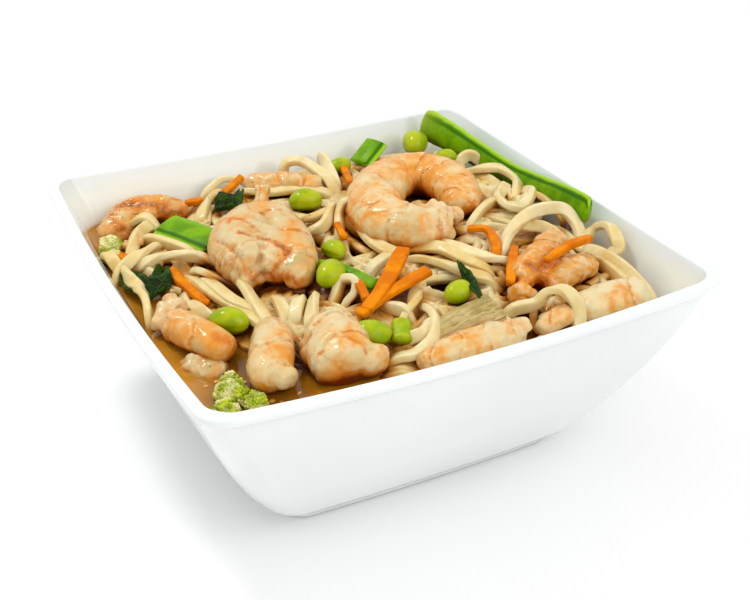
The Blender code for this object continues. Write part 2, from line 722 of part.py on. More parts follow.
def make_strands(core, obstacles, wall):
    """Fuses on the strands that fit between the toppings, cut short where they would cross one."""
    trees = [tree_of(obstacle) for obstacle in obstacles]
    clearance = (0.5 * NOODLE_WIDTH + 0.3) * MM
    afloat = BROTH_LEVEL + 0.5 * NOODLE_HEIGHT + GAP

    def blocked(point):
        """Whether a strand here would touch a topping, the wall or open broth."""
        place = point * MM
        reach = heap_reach(math.atan2(point.y, point.x)) - HEAP_EDGE
        if point.z < afloat and math.hypot(point.x, point.y) > reach:
            return True
        for tree in trees:
            near, normal, _, distance = tree.find_nearest(place)
            if distance < clearance or (place - near).dot(normal) < -0.9 * distance:
                return True
        near, normal, _, distance = wall.find_nearest(place)
        return distance < clearance or (place - near).dot(normal) > 0.0

    made = []
    for number, strand in enumerate([*STRANDS, *filler_strands()]):
        path = free_stretch(strand_path(strand), blocked)
        while len(path) > 3:
            for end in (0, -1):
                path[end].z = max(path[end].z - 1.2, afloat)
            piece = sweep(f"strand_{number}", path, NOODLE_WIDTH, NOODLE_HEIGHT, NOODLE_SIDES)
            piece_tree = tree_of(piece)
            if not any(piece_tree.overlap(tree) for tree in [*trees, wall]):
                made.append(piece)
                break
            bpy.data.objects.remove(piece, do_unlink=True)
            path = path[1:-1]
    strands = bpy.data.collections.new("strands")
    bpy.context.scene.collection.children.link(strands)
    for strand in made:
        parts.objects.unlink(strand)
        strands.objects.link(strand)
    union = core.modifiers.new("Strands", "BOOLEAN")
    union.operation = "UNION"
    union.solver = SOLVER
    union.operand_type = "COLLECTION"
    union.collection = strands
    bake(core)
    keep_largest(core)
    for strand in made:
        bpy.data.objects.remove(strand, do_unlink=True)
    bpy.data.collections.remove(strands)


def make_toppings():
    """Every topping at its place, the largest first."""
    toppings = [make_prawn(i, lobes) for i, lobes in enumerate(PRAWNS)]
    toppings += [make_pod(i, *pod) for i, pod in enumerate(PODS)]
    toppings += [make_bean(i, *bean) for i, bean in enumerate(BEANS)]
    toppings += [make_carrot(i, *carrot) for i, carrot in enumerate(CARROTS)]
    toppings += [make_broccoli(i, tufts) for i, tufts in enumerate(FLORETS)]
    stalk_path = smooth_path([(-5, -60, 62), (8, -59, 64.5), (21, -58, 66)], 5)
    stalk = sweep("stalk", stalk_path, 12.0, 4.4, 8, tilt=15)
    stalk.data.materials.append(stalk_pale)
    onion = sweep("spring_onion", smooth_path([(-10, -50, 64.5), (-14, -58, 62.5)], 3), 6.5, 5.0, 8)
    onion.data.materials.append(bean_green)
    toppings += [stalk, onion]
    toppings += [make_leaf(i, *leaf) for i, leaf in enumerate(LEAVES)]
    return toppings


def fit_toppings(toppings, inside, inside_tree, core_cutter):
    """Keeps each topping inside the bowl, off the heap's core and off the ones placed before it."""
    placed = []
    for topping in toppings:
        tree = tree_of(topping)
        if any(
            (vert.co - near).dot(normal) > -GAP * MM
            for vert in topping.data.vertices
            for near, normal, _, _ in [inside_tree.find_nearest(vert.co)]
        ):
            combine(topping, inside, "INTERSECT")
        for cutter, cutter_tree in [(core_cutter, tree_of(core_cutter)), *placed]:
            if tree.overlap(cutter_tree):
                combine(topping, cutter, "DIFFERENCE")
        cutter = grown(topping)
        placed.append((cutter, tree_of(cutter)))
    return [cutter for cutter, _ in placed]


def sink_into_broth(broth, volumes):
    """Cuts the broth round the heap and round what dips into it."""
    surface = tree_of(broth)
    dipped = bpy.data.collections.new("dipped")
    bpy.context.scene.collection.children.link(dipped)
    for volume in volumes:
        if surface.overlap(tree_of(volume)):
            dipped.objects.link(volume)
    cut = broth.modifiers.new("Dipped", "BOOLEAN")
    cut.solver = SOLVER
    cut.operand_type = "COLLECTION"
    cut.collection = dipped
    bake(broth)
    keep_largest(broth)
    bpy.data.collections.remove(dipped)


clear_scene()
parts = new_collection("prawn_noodle_bowl")
cutters = new_collection("cutters")
porcelain = new_material("porcelain", (0.86, 0.87, 0.86), 0.12, 0.6)
broth_brown = new_material("broth_brown", (0.32, 0.14, 0.02), 0.08)
noodle_cream = new_material("noodle_cream", (0.8, 0.68, 0.43), 0.35)
prawn_pink = new_material("prawn_pink", (0.82, 0.5, 0.26), 0.35)
bean_green = new_material("bean_green", (0.38, 0.5, 0.02), 0.25)
pod_green = new_material("pod_green", (0.16, 0.36, 0.01), 0.3)
carrot_orange = new_material("carrot_orange", (0.8, 0.2, 0.005), 0.35)
broccoli_green = new_material("broccoli_green", (0.4, 0.45, 0.08), 0.7)
leaf_green = new_material("leaf_green", (0.03, 0.09, 0.01), 0.4)
stalk_pale = new_material("stalk_pale", (0.6, 0.55, 0.25), 0.3)

make_bowl()
inside_volume = make_inside("inside", BOWL_HEIGHT + 20.0)
inside_tree = tree_of(inside_volume)
broth = make_inside("broth", BROTH_LEVEL)
broth.data.materials.append(broth_brown)
noodles = make_core()
core_volume = grown(noodles)
topping_cutters = fit_toppings(make_toppings(), inside_volume, inside_tree, core_volume)
make_strands(noodles, topping_cutters, inside_tree)
sink_into_broth(broth, [core_volume, *topping_cutters])
for helper in [inside_volume, *cutters.objects]:
    bpy.data.objects.remove(helper, do_unlink=True)
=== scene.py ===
import math
import random

import bmesh
import bpy
import numpy as np
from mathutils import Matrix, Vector, noise
from mathutils.bvhtree import BVHTree


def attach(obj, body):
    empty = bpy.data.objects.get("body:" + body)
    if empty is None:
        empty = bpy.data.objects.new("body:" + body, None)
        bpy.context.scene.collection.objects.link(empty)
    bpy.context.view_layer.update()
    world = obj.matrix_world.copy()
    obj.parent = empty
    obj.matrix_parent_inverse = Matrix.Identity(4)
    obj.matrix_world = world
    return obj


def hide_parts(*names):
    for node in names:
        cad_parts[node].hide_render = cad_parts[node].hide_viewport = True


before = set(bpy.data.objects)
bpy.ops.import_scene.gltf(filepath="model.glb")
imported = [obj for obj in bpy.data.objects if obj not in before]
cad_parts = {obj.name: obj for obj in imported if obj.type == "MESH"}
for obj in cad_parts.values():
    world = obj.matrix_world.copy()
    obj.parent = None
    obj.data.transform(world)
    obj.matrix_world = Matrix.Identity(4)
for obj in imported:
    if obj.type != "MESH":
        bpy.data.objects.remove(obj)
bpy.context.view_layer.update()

mm = 0.001  # sizes and places below are in millimetres


# Materials: a socket that can be used in sums

class Wire:
    def __init__(self, tree, socket=None):
        self.tree = tree
        self.socket = socket

    def make(self, kind, sockets=None, out=0, stops=None, **settings):
        added = self.tree.nodes.new(kind)
        for key, value in settings.items():
            setattr(added, key, value)
        if stops:
            ramp = added.color_ramp
            ramp.elements[0].position = stops[0][0]
            ramp.elements[1].position = stops[1][0]
            for place, _ in stops[2:]:
                ramp.elements.new(place)
            for element, (_, colour) in zip(ramp.elements, stops):
                element.color = (*colour, 1.0)
        for key, value in (sockets or {}).items():
            if isinstance(value, Wire):
                self.tree.links.new(value.socket, added.inputs[key])
            else:
                added.inputs[key].default_value = value
        return Wire(self.tree, added.outputs[out])

    def math(self, operation, *values, clamp=False):
        return self.make("ShaderNodeMath", dict(enumerate(values)), operation=operation, use_clamp=clamp)

    def __add__(self, other):
        return self.math("ADD", self, other)

    def __sub__(self, other):
        return self.math("SUBTRACT", self, other)

    def __rsub__(self, other):
        return self.math("SUBTRACT", other, self)

    def __mul__(self, other):
        return self.math("MULTIPLY", self, other)

    def __truediv__(self, other):
        return self.math("DIVIDE", self, other)

    __radd__ = __add__
    __rmul__ = __mul__

    def band(self, low, high):  # 0 below low, 1 above high, smooth between
        sockets = {"Value": self, "From Min": low, "From Max": high}
        return self.make("ShaderNodeMapRange", sockets, interpolation_type="SMOOTHSTEP")

    def blend(self, low, high):  # two colours, with this as the factor
        ends = [end if isinstance(end, Wire) else (*tint(end), 1.0) for end in (low, high)]
        return self.make("ShaderNodeMix", {0: self, 6: ends[0], 7: ends[1]}, out=2, data_type="RGBA")

    def stain(self, base, dye):  # a colour multiplied by another, with this as the factor
        return self.make("ShaderNodeMix", {0: self, 6: base, 7: (*tint(dye), 1.0)}, out=2, data_type="RGBA",
                         blend_type="MULTIPLY")

    def attribute(self, name):
        return self.make("ShaderNodeAttribute", out="Fac", attribute_name=name)

    def place(self, out="Object"):
        return self.make("ShaderNodeTexCoord", out=out)

    def stretched(self, scale, out="Object"):
        return self.make("ShaderNodeMapping", {"Vector": self.place(out), "Scale": scale})

    def clouds(self, scale, detail=3.0, rough=0.55, vector=None):
        sockets = {"Vector": vector or self.place(), "Scale": scale, "Detail": detail, "Roughness": rough}
        return self.make("ShaderNodeTexNoise", sockets)

    def cells(self, scale, vector=None, feature="F1"):
        sockets = {"Vector": vector or self.place(), "Scale": scale}
        return self.make("ShaderNodeTexVoronoi", sockets, feature=feature)


def tint(code):  # a colour as on screen, for example "efd9b0", as Blender's linear values
    levels = [int(code[i:i + 2], 16) / 255.0 for i in (0, 2, 4)]
    return tuple(v / 12.92 if v <= 0.04045 else ((v + 0.055) / 1.055) ** 2.4 for v in levels)


def newMaterial(name, **sockets):
    material = bpy.data.materials.new(name)
    material.use_nodes = True
    shader = material.node_tree.nodes["Principled BSDF"]
    for socket, value in sockets.items():
        shader.inputs[socket.replace("_", " ")].default_value = value
    return material, Wire(material.node_tree), shader


def paint(wire, shader, colour, roughness=None, height=None, depth=0.1):
    wire.tree.links.new(colour.socket, shader.inputs["Base Color"])
    if roughness is not None:
        wire.tree.links.new(roughness.socket, shader.inputs["Roughness"])
    if height is not None:
        bump = wire.make("ShaderNodeBump", {"Height": height, "Distance": depth * mm, "Strength": 1.0})
        wire.tree.links.new(bump.socket, shader.inputs["Normal"])


def shadedAndSoaked(wire, colour, mid="e6ac3a", deep="84560a"):  # food that lies low among its neighbours is mixed toward saturated brown: painted shade in the gaps, and partly the broth's brown
    sunk = wire.attribute("sunk")
    colour = (sunk.band(0.0, 2.8) * 0.9).stain(colour, mid)
    return (sunk.band(2.0, 6.0) * 0.95).stain(colour, deep)


def porcelainMaterial():
    glaze = {"white": "e6ebea", "shade": "e1e6e5", "warm": "eef1e8", "splash": "e3bb7c", "waterline": 56.3,
             "splashTop": 58.6}
    material, wire, shader = newMaterial("porcelainGlaze", Roughness=0.16, Coat_Weight=0.5,
                                         Coat_Roughness=0.06)
    height = wire.make("ShaderNodeSeparateXYZ", {0: wire.place()}, out="Z") / mm
    inside = wire.attribute("inside")
    body = wire.clouds(14.0, 2.0).band(0.35, 0.7).blend(glaze["white"], glaze["shade"])
    body = inside.blend(body, glaze["warm"])
    low = 1.0 - (height - 4.0 * wire.clouds(60.0) + 2.0).band(glaze["waterline"], glaze["splashTop"])
    colour = (inside * low * 0.85).blend(body, glaze["splash"])
    ripple = wire.clouds(90.0, 2.0) + 0.3 * wire.clouds(700.0, 1.0)
    paint(wire, shader, colour, 0.12 + 0.1 * wire.clouds(120.0), ripple, 0.05)
    return material


def brothMaterial():
    soup = {"deep": "6e3e06", "mid": "9e6810", "thin": "c48a2a", "fat": "d8a642"}
    material, wire, shader = newMaterial("brownBroth", Roughness=0.06, Coat_Weight=0.1, Coat_Roughness=0.03,
                                         IOR=1.33)
    swirl = wire.clouds(55.0, 4.0, 0.6)
    nearWall = wire.attribute("nearWall")
    colour = swirl.band(0.35, 0.7).blend(soup["deep"], soup["mid"])
    colour = (nearWall * (0.5 + 0.6 * swirl)).blend(colour, soup["thin"])
    fat = 1.0 - wire.cells(260.0).band(0.12, 0.2)
    colour = (fat * 0.3 * wire.clouds(60.0).band(0.45, 0.6)).blend(colour, soup["fat"])
    paint(wire, shader, colour, 0.03 + 0.08 * swirl, wire.clouds(120.0, 2.0), 0.08)
    return material


def noodleMaterial():
    dough = {"pale": "e6d9ac", "mid": "dabf76", "wet": "cf9f36"}
    material, wire, shader = newMaterial(
        "boiledNoodle", Roughness=0.34, Specular_IOR_Level=0.2, Coat_Weight=0.2, Coat_Roughness=0.08,
        Subsurface_Weight=0.1, Subsurface_Scale=0.003, Subsurface_Radius=(1.0, 0.7, 0.35))
    tone = wire.attribute("tone")
    mottle = wire.clouds(260.0, 3.0)
    colour = (0.55 * tone + 0.45 * mottle.band(0.3, 0.7)).blend(dough["pale"], dough["mid"])
    colour = (wire.clouds(70.0).band(0.5, 0.7) * 0.5).blend(colour, dough["wet"])
    # painted shade and broth brown where the noodle lies low
    colour = shadedAndSoaked(wire, colour)
    skin = wire.clouds(900.0, 2.0) + 0.6 * wire.clouds(240.0, 2.0)
    paint(wire, shader, colour, 0.26 + 0.22 * wire.clouds(400.0), skin, 0.12)
    return material


def prawnMaterial():
    flesh = {"pale": "dcc998", "warm": "e4b062", "clear": "b89c5e", "orange": "dc8c1c", "line": "bc6400",
             "cut": "dccfa8", "scorchAndShade": "cc7010", "brown": "86541c"}
    material, wire, shader = newMaterial(
        "cookedPrawn", Roughness=0.3, Specular_IOR_Level=0.16, Coat_Weight=0.36, Coat_Roughness=0.06,
        Subsurface_Weight=0.06, Subsurface_Scale=0.003, Subsurface_Radius=(1.0, 0.8, 0.45))
    phase = wire.attribute("phase")
    cut = wire.attribute("cut")
    blush = wire.attribute("blush")
    fold = wire.attribute("fold")
    dull = wire.attribute("dull")
    patch = wire.clouds(110.0, 3.0, 0.6)
    fine = wire.clouds(560.0, 3.0, 0.65)
    sockets = {"Vector": wire.place(), "Scale": 160.0, "Detail": 3.0}
    wander = wire.make("ShaderNodeTexNoise", sockets, out="Color")
    wander = wire.make("ShaderNodeVectorMath", {0: wander, "Scale": 6.0 * mm}, operation="SCALE")
    warped = wire.make("ShaderNodeVectorMath", {0: wire.place(), 1: wander}, operation="ADD")
    plates = wire.cells(110.0, vector=warped, feature="DISTANCE_TO_EDGE")
    colour = (patch + 0.35 * blush).band(0.42, 0.78).blend(flesh["pale"], flesh["warm"])
    clear = wire.clouds(75.0, 2.0).band(0.54, 0.68)
    colour = (0.45 * clear + 0.55 * dull).blend(colour, flesh["clear"])
    spread = (patch + 0.25 * fine + 0.5 * blush).band(0.78, 1.12)
    colour = (spread * 0.8).blend(colour, flesh["orange"])
    between = (1.0 - plates.band(0.0, 0.2)) * (patch + 0.4 * fine).band(0.55, 0.85)
    colour = (between * 0.85).blend(colour, flesh["orange"])
    within = wire.math("FRACT", phase + 0.04 * fine)
    edge = wire.math("ABSOLUTE", within - 0.5)  # half at a crease, none in mid segment
    broken = (fine + patch).band(0.85, 1.2)
    crease = (edge + 0.03 * fine).band(0.455, 0.51) * broken
    colour = (crease * 0.8).blend(colour, flesh["line"])
    # painted shade in part: points in valleys of the rumpled skin go toward the orange line colour, for the
    # orange of the folds and the shade in them
    valley = fold.band(0.2, 0.8) * (0.3 + 0.7 * broken)
    colour = (valley * 0.7).blend(colour, flesh["line"])
    ridge = wire.math("MULTIPLY", fold, -1.0).band(0.15, 0.7)
    colour = ((ridge + cut).band(0.0, 1.2) * (0.55 - 0.4 * dull)).blend(colour, flesh["cut"])
    # painted shade in part: the carved seams go toward orange and brown, for shade in the creases and scorched
    # skin
    creaseShadeAndCrust = wire.attribute("creaseShadeAndCrust") * (0.4 + 0.9 * (fine + patch).band(0.75, 1.15))
    colour = (creaseShadeAndCrust.band(0.12, 0.7) * 0.8).blend(colour, flesh["scorchAndShade"])
    colour = (creaseShadeAndCrust.band(0.65, 1.1) * 0.8).blend(colour, flesh["brown"])
    # painted shade and broth brown where the prawn lies low
    colour = shadedAndSoaked(wire, colour, "e4ae56", "92560c")
    relief = 1.4 * fine + 0.8 * wire.clouds(1500.0, 2.0) + 0.5 * plates.band(0.0, 0.12)
    paint(wire, shader, colour, 0.22 + 0.28 * fine, relief, 0.14)
    return material


def beanMaterial():
    skin = {"bright": "8aa400", "yellow": "acb80a", "green": "567600"}
    material, wire, shader = newMaterial(
        "edamameSkin", Roughness=0.2, Specular_IOR_Level=0.08, Coat_Weight=0.22, Coat_Roughness=0.06,
        Subsurface_Weight=0.06, Subsurface_Scale=0.003)
    cloud = wire.clouds(170.0, 2.0)
    around = wire.attribute("back")
    colour = cloud.band(0.35, 0.65).blend(skin["bright"], skin["yellow"])
    # painted shade: the lower half of each bean goes toward darker green
    colour = (0.5 - 0.5 * around).band(0.45, 1.0).blend(colour, skin["green"])
    # painted shade and broth brown where the bean lies low
    colour = shadedAndSoaked(wire, colour, "d8c060", "6a5210")
    paint(wire, shader, colour, 0.14 + 0.2 * wire.clouds(500.0), wire.clouds(700.0, 2.0), 0.06)
    return material


def podMaterial():
    skin = {"bright": "7cac02", "green": "548800", "seam": "2c6400", "light": "9cc62c", "tip": "aec03c"}
    material, wire, shader = newMaterial(
        "peaPodSkin", Roughness=0.3, Specular_IOR_Level=0.06, Coat_Weight=0.04, Coat_Roughness=0.14,
        Subsurface_Weight=0.04, Subsurface_Scale=0.002)
    across = wire.attribute("across")  # 0 at one edge, 1 at the seam
    cloud = wire.clouds(110.0, 3.0)
    colour = cloud.band(0.35, 0.68).blend(skin["bright"], skin["green"])
    # painted shade in part: the band in the groove beside the seam ridge is dark green, for the seam line and
    # the shade in the groove
    groove = across.band(0.72, 0.8) * (1.0 - across.band(0.86, 0.9))
    colour = (groove * 0.9).blend(colour, skin["seam"])
    colour = across.band(0.9, 0.96).blend(colour, skin["light"])
    colour = (wire.attribute("tip") * 0.7).blend(colour, skin["tip"])
    # painted shade and broth brown where the pod lies low
    colour = shadedAndSoaked(wire, colour, "c8c070", "5a5a10")
    vein = wire.clouds(260.0, 3.0, vector=wire.stretched((1.0, 0.25, 1.0)))
    paint(wire, shader, colour, 0.24 + 0.2 * cloud, vein + 0.3 * wire.clouds(1100.0), 0.1)
    return material


def carrotMaterial():
    root = {"bright": "ea8a00", "deep": "d46e00", "pale": "f09c18"}
    material, wire, shader = newMaterial(
        "cookedCarrot", Roughness=0.32, Specular_IOR_Level=0.04, Coat_Weight=0.03, Coat_Roughness=0.12,
        Subsurface_Weight=0.06, Subsurface_Scale=0.002)
    fibre = wire.clouds(60.0, 3.0, vector=wire.stretched((1.0, 14.0, 1.0), "UV"))
    cloud = wire.clouds(180.0, 2.0)
    colour = cloud.band(0.35, 0.65).blend(root["bright"], root["deep"])
    colour = (fibre.band(0.5, 0.72) * 0.4).blend(colour, root["pale"])
    # painted shade and broth brown where the carrot lies low
    colour = shadedAndSoaked(wire, colour, "e0a050", "7a3a08")
    paint(wire, shader, colour, 0.24 + 0.2 * cloud, fibre + 0.5 * wire.clouds(900.0), 0.1)
    return material


def broccoliMaterial():
    bud = {"light": "c4cc30", "green": "7e940c", "tip": "e8e0a4"}
    material, wire, shader = newMaterial("broccoliBuds", Roughness=0.6, Specular_IOR_Level=0.2)
    cloud = wire.clouds(420.0, 3.0)
    colour = cloud.band(0.35, 0.62).blend(bud["light"], bud["green"])
    colour = wire.clouds(160.0).band(0.44, 0.62).blend(colour, bud["tip"])
    # painted shade and broth brown where the broccoli lies low
    colour = shadedAndSoaked(wire, colour, "cfc070", "5a5212")
    paint(wire, shader, colour, 0.4 + 0.3 * cloud, wire.clouds(1800.0), 0.15)
    return material


def leafMaterial():
    leaf = {"dark": "16280a", "green": "2f4e10", "vein": "52701c"}
    material, wire, shader = newMaterial("cookedLeaf", Roughness=0.4, Specular_IOR_Level=0.08)
    cloud = wire.clouds(150.0, 3.0)
    colour = cloud.band(0.4, 0.65).blend(leaf["dark"], leaf["green"])
    vein = 1.0 - wire.cells(280.0, feature="DISTANCE_TO_EDGE").band(0.02, 0.09)
    colour = (vein * 0.3).blend(colour, leaf["vein"])
    paint(wire, shader, colour, 0.3 + 0.2 * cloud, vein + cloud, 0.2)
    return material


def stalkMaterial():
    fibre = {"pale": "c6b47a", "yellow": "a88a3a", "green": "807838", "dark": "6c5a1a"}
    material, wire, shader = newMaterial(
        "paleStalk", Roughness=0.2, Specular_IOR_Level=0.35, Coat_Weight=0.3, Coat_Roughness=0.08,
        Subsurface_Weight=0.15, Subsurface_Scale=0.003)
    around = wire.make("ShaderNodeSeparateXYZ", {0: wire.place("UV")}, out="Y")
    ribs = 0.5 + 0.5 * wire.math("SINE", (around + 0.02 * wire.clouds(90.0)) * (17.0 * math.tau))
    streak = wire.clouds(7.0, 3.0, vector=wire.stretched((1.0, 9.0, 1.0), "UV"))
    cloud = wire.clouds(130.0, 3.0)
    colour = (0.35 * ribs + 0.65 * cloud.band(0.3, 0.7)).blend(fibre["pale"], fibre["yellow"])
    colour = (cloud.band(0.5, 0.7) * 0.5).blend(colour, fibre["green"])
    colour = (streak.band(0.5, 0.68) * 0.7).blend(colour, fibre["dark"])
    # painted shade and broth brown where the stalk lies low
    colour = shadedAndSoaked(wire, colour)
    paint(wire, shader, colour, 0.15 + 0.2 * cloud, ribs + 0.8 * wire.clouds(300.0), 0.1)
    return material


def speckMaterial():
    material, wire, shader = newMaterial("pepperSpeck", Roughness=0.6)
    colour = wire.clouds(900.0).band(0.4, 0.6).blend("241408", "5a3416")
    paint(wire, shader, colour, height=wire.clouds(3000.0), depth=0.1)
    return material


def dropMaterial():
    material, wire, shader = newMaterial("oilDrop", Roughness=0.03, Coat_Weight=1.0, Coat_Roughness=0.02)
    colour = wire.clouds(300.0).band(0.4, 0.6).blend("b8742a", "d59a48")
    paint(wire, shader, colour, height=wire.clouds(500.0), depth=0.02)
    return material


def coreMaterial():
    material, wire, shader = newMaterial("shadedSoakedHeap", Roughness=0.3, Coat_Weight=0.4)
    # painted shade in part: the heap under the strands is a dark broth brown, so the gaps between strands look
    # shaded
    colour = wire.clouds(160.0, 4.0).band(0.4, 0.65).blend("744810", "bc8a3c")
    paint(wire, shader, colour, 0.2 + 0.3 * wire.clouds(200.0), wire.clouds(260.0), 0.8)
    return material


finish = {
    "porcelain": porcelainMaterial(),
    "broth": brothMaterial(),
    "noodle": noodleMaterial(),
    "prawn": prawnMaterial(),
    "bean": beanMaterial(),
    "pod": podMaterial(),
    "carrot": carrotMaterial(),
    "broccoli": broccoliMaterial(),
    "leaf": leafMaterial(),
    "stalk": stalkMaterial(),
    "speck": speckMaterial(),
    "drop": dropMaterial(),
    "core": coreMaterial(),
}
print("materials made")


# Shapes

def linked(name, data):  # an object of the given data, in the scene
    piece = bpy.data.objects.new(name, data)
    bpy.context.scene.collection.objects.link(piece)
    return piece


def marked(mesh, values):  # a value for each point, under each name
    for key, column in values.items():
        layer = mesh.attributes.new(key, "FLOAT", "POINT")
        layer.data.foreach_set("value", np.asarray(column, np.float32).ravel())


def meshPiece(name, points, faces, material, loopUv=None, values=None):
    mesh = bpy.data.meshes.new(name)
    mesh.from_pydata([tuple(p) for p in np.asarray(points) * mm], [], faces)
    if loopUv is not None:
        layer = mesh.uv_layers.new(name="UVMap")
        layer.data.foreach_set("uv", np.asarray(loopUv, np.float32).ravel())
    marked(mesh, values or {})
    bm = bmesh.new()
    bm.from_mesh(mesh)
    bmesh.ops.recalc_face_normals(bm, faces=bm.faces)
    bm.to_mesh(mesh)
    bm.free()
    mesh.shade_smooth()
    mesh.materials.append(material)
    return linked(name, mesh)


def bake(piece):  # what the modifiers make becomes the mesh
    mesh = bpy.data.meshes.new_from_object(piece.evaluated_get(bpy.context.evaluated_depsgraph_get()))
    name = piece.name
    if piece.type == "MESH":
        piece.modifiers.clear()
        piece.data = mesh
        return piece
    bpy.data.objects.remove(piece)
    return linked(name, mesh)


def joined(name, pieces):  # one mesh of several
    bm = bmesh.new()
    material = pieces[0].data.materials[0]
    for piece in pieces:
        bm.from_mesh(piece.data)
        bpy.data.objects.remove(piece)
    mesh = bpy.data.meshes.new(name)
    bm.to_mesh(mesh)
    bm.free()
    mesh.materials.append(material)
    return linked(name, mesh)


def belongs(piece, slot, *nodes):
    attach(piece, "root")
    if nodes:
        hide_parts(*nodes)
    return piece


def roughness(points, size, seed=0):  # smooth noise from -1 to 1 at each point
    away = Vector((seed * 7.31, seed * 3.17, seed * 1.93))
    return np.array([noise.noise(Vector(p) / size + away) for p in np.asarray(points).reshape(-1, 3)])


def curveThrough(points, steps):  # a smooth curve, with steps from each point to the next
    points = np.array(points, float)
    ends = np.vstack([2 * points[0] - points[1], points, 2 * points[-1] - points[-2]])
    t = (np.arange(steps) / steps)[:, None]
    fine = []
    for a, b, c, d in zip(ends[:-3], ends[1:-2], ends[2:-1], ends[3:]):
        fine.append(0.5 * (2 * b + (c - a) * t + (2 * a - 5 * b + 4 * c - d) * t**2
                           + (3 * b - a - 3 * c + d) * t**3))
    return np.vstack([*fine, points[-1:]])


def smoothPath(points, spacing):  # evenly spaced points on that curve
    fine = curveThrough(points, 16)
    lengths = np.concatenate([[0.0], np.cumsum(np.linalg.norm(np.diff(fine[:, :3], axis=0), axis=1))])
    stations = np.linspace(0.0, lengths[-1], max(4, round(lengths[-1] / spacing) + 1))
    return np.column_stack([np.interp(stations, lengths, column) for column in fine.T])


def axesAlong(path, tilt=0.0):  # for each point, the direction across the path and the one above it
    tangent = np.gradient(path, axis=0)
    tangent /= np.linalg.norm(tangent, axis=1)[:, None]
    across = np.cross(tangent, (0.0, 0.0, 1.0))
    across /= np.linalg.norm(across, axis=1)[:, None]
    above = np.cross(across, tangent)
    c, s = math.cos(math.radians(tilt)), math.sin(math.radians(tilt))
    return across * c + above * s, above * c - across * s


def tubeFaces(rows, sides):  # faces and their UVs for rings joined in order, with a middle point at each end
    i, j = np.meshgrid(np.arange(rows - 1), np.arange(sides), indexing="ij")
    k = (j + 1) % sides
    here, after = i * sides, (i + 1) * sides
    quads = np.stack([here + j, here + k, after + k, after + j], axis=-1).reshape(-1, 4)
    u, v = i / (rows - 1.0), j / float(sides)
    du, dv = 1.0 / (rows - 1.0), 1.0 / sides
    corners = [(u, v), (u, v + dv), (u + du, v + dv), (u + du, v)]
    uv = np.stack([np.stack(corner, axis=-1) for corner in corners], axis=-2).reshape(-1, 2)
    faces = [tuple(int(n) for n in quad) for quad in quads]
    capUv = []
    for row, end, middle in ((0, 0.0, rows * sides), (rows - 1, 1.0, rows * sides + 1)):
        for side in range(sides):
            faces.append((row * sides + side, row * sides + (side + 1) % sides, middle))
            capUv += [(end, side / sides), (end, (side + 1) / sides), (end, (side + 0.5) / sides)]
    return faces, np.vstack([uv, capUv])


def turned(x, y, heading):
    c, s = math.cos(math.radians(heading)), math.sin(math.radians(heading))
    return x * c - y * s, x * s + y * c


def roundedEnds(path, length, power=2.4):  # scale of each ring, falling to nothing over a length at both ends
    steps = np.concatenate([[0.0], np.cumsum(np.linalg.norm(np.diff(path, axis=0), axis=1))])
    near = np.clip(np.minimum(steps, steps[-1] - steps) / length, 0.0, 1.0)
    return np.maximum((1.0 - (1.0 - near) ** power) ** (1.0 / power), 0.02)


def sweep(name, path, outline, material, scale=1.0, tilt=0.0, rough=0.0, seed=0, values=None):
    across, above = axesAlong(path, tilt)
    scale = np.broadcast_to(np.asarray(scale, float), (len(path),))[:, None, None]
    outline = np.asarray(outline, float)
    rings = path[:, None, :] + scale * (outline[None, :, 0:1] * across[:, None, :]
                                        + outline[None, :, 1:2] * above[:, None, :])
    if rough:
        push = roughness(rings, 4.0, seed).reshape(rings.shape[:2])[:, :, None]
        outward = rings - path[:, None, :]
        outward /= np.maximum(np.linalg.norm(outward, axis=2), 1e-6)[:, :, None]
        rings = rings + outward * push * rough * np.minimum(1.0, scale * 2.0)
    points = np.vstack([rings.reshape(-1, 3), path[:1], path[-1:]])
    faces, uv = tubeFaces(*rings.shape[:2])
    full = {}
    for key, column in (values or {}).items():
        column = np.broadcast_to(column, rings.shape[:2]).ravel()
        full[key] = np.concatenate([column, [column[0], column[-1]]])
    return meshPiece(name, points, faces, material, uv, full)


def superEllipse(width, height, power=2.0, count=24):
    a = np.linspace(0.0, math.tau, count, endpoint=False)
    x = np.sign(np.cos(a)) * np.abs(np.cos(a)) ** (2.0 / power)
    y = np.sign(np.sin(a)) * np.abs(np.sin(a)) ** (2.0 / power)
    return np.column_stack([0.5 * width * x, 0.5 * height * y])


# Bowl

bowl = {
    "height": 75.0, "bow": 2.6, "dip": 2.2, "dipFrom": 30.0, "cornerSteps": 12, "sideSteps": 22,
    "sharpFrom": 50,
    # half width, corner radius and height, from the hollow under the foot up the outside
    "foot": ((47.0, 7.0, 3.2), (48.2, 7.4, 0.6), (48.8, 7.5, 0.0), (52.4, 8.5, 0.0), (53.0, 9.0, 0.7),
             (53.2, 9.0, 4.2), (54.4, 9.5, 5.2)),
    "outside": ((58.5, 10.0, 6.8), (63.2, 10.0, 14.2), (70.0, 9.5, 26.4), (78.0, 9.0, 43.4),
                (84.5, 8.5, 60.4), (87.8, 8.5, 71.4)),
    "lip": ((89.2, 8.9, 72.0), (89.8, 9.0, 73.0), (89.9, 9.0, 73.9), (89.5, 8.7, 74.7), (88.6, 8.4, 75.0),
            (87.0, 7.8, 75.0), (86.0, 7.4, 74.8), (85.5, 7.0, 73.8)),
    "inside": ((83.4, 7.0, 68.4), (80.2, 7.0, 60.4), (73.6, 7.5, 43.4), (65.2, 8.0, 26.4), (59.0, 9.0, 16.0)),
    "floor": ((53.0, 10.0, 10.6), (47.0, 10.0, 9.0)),
}


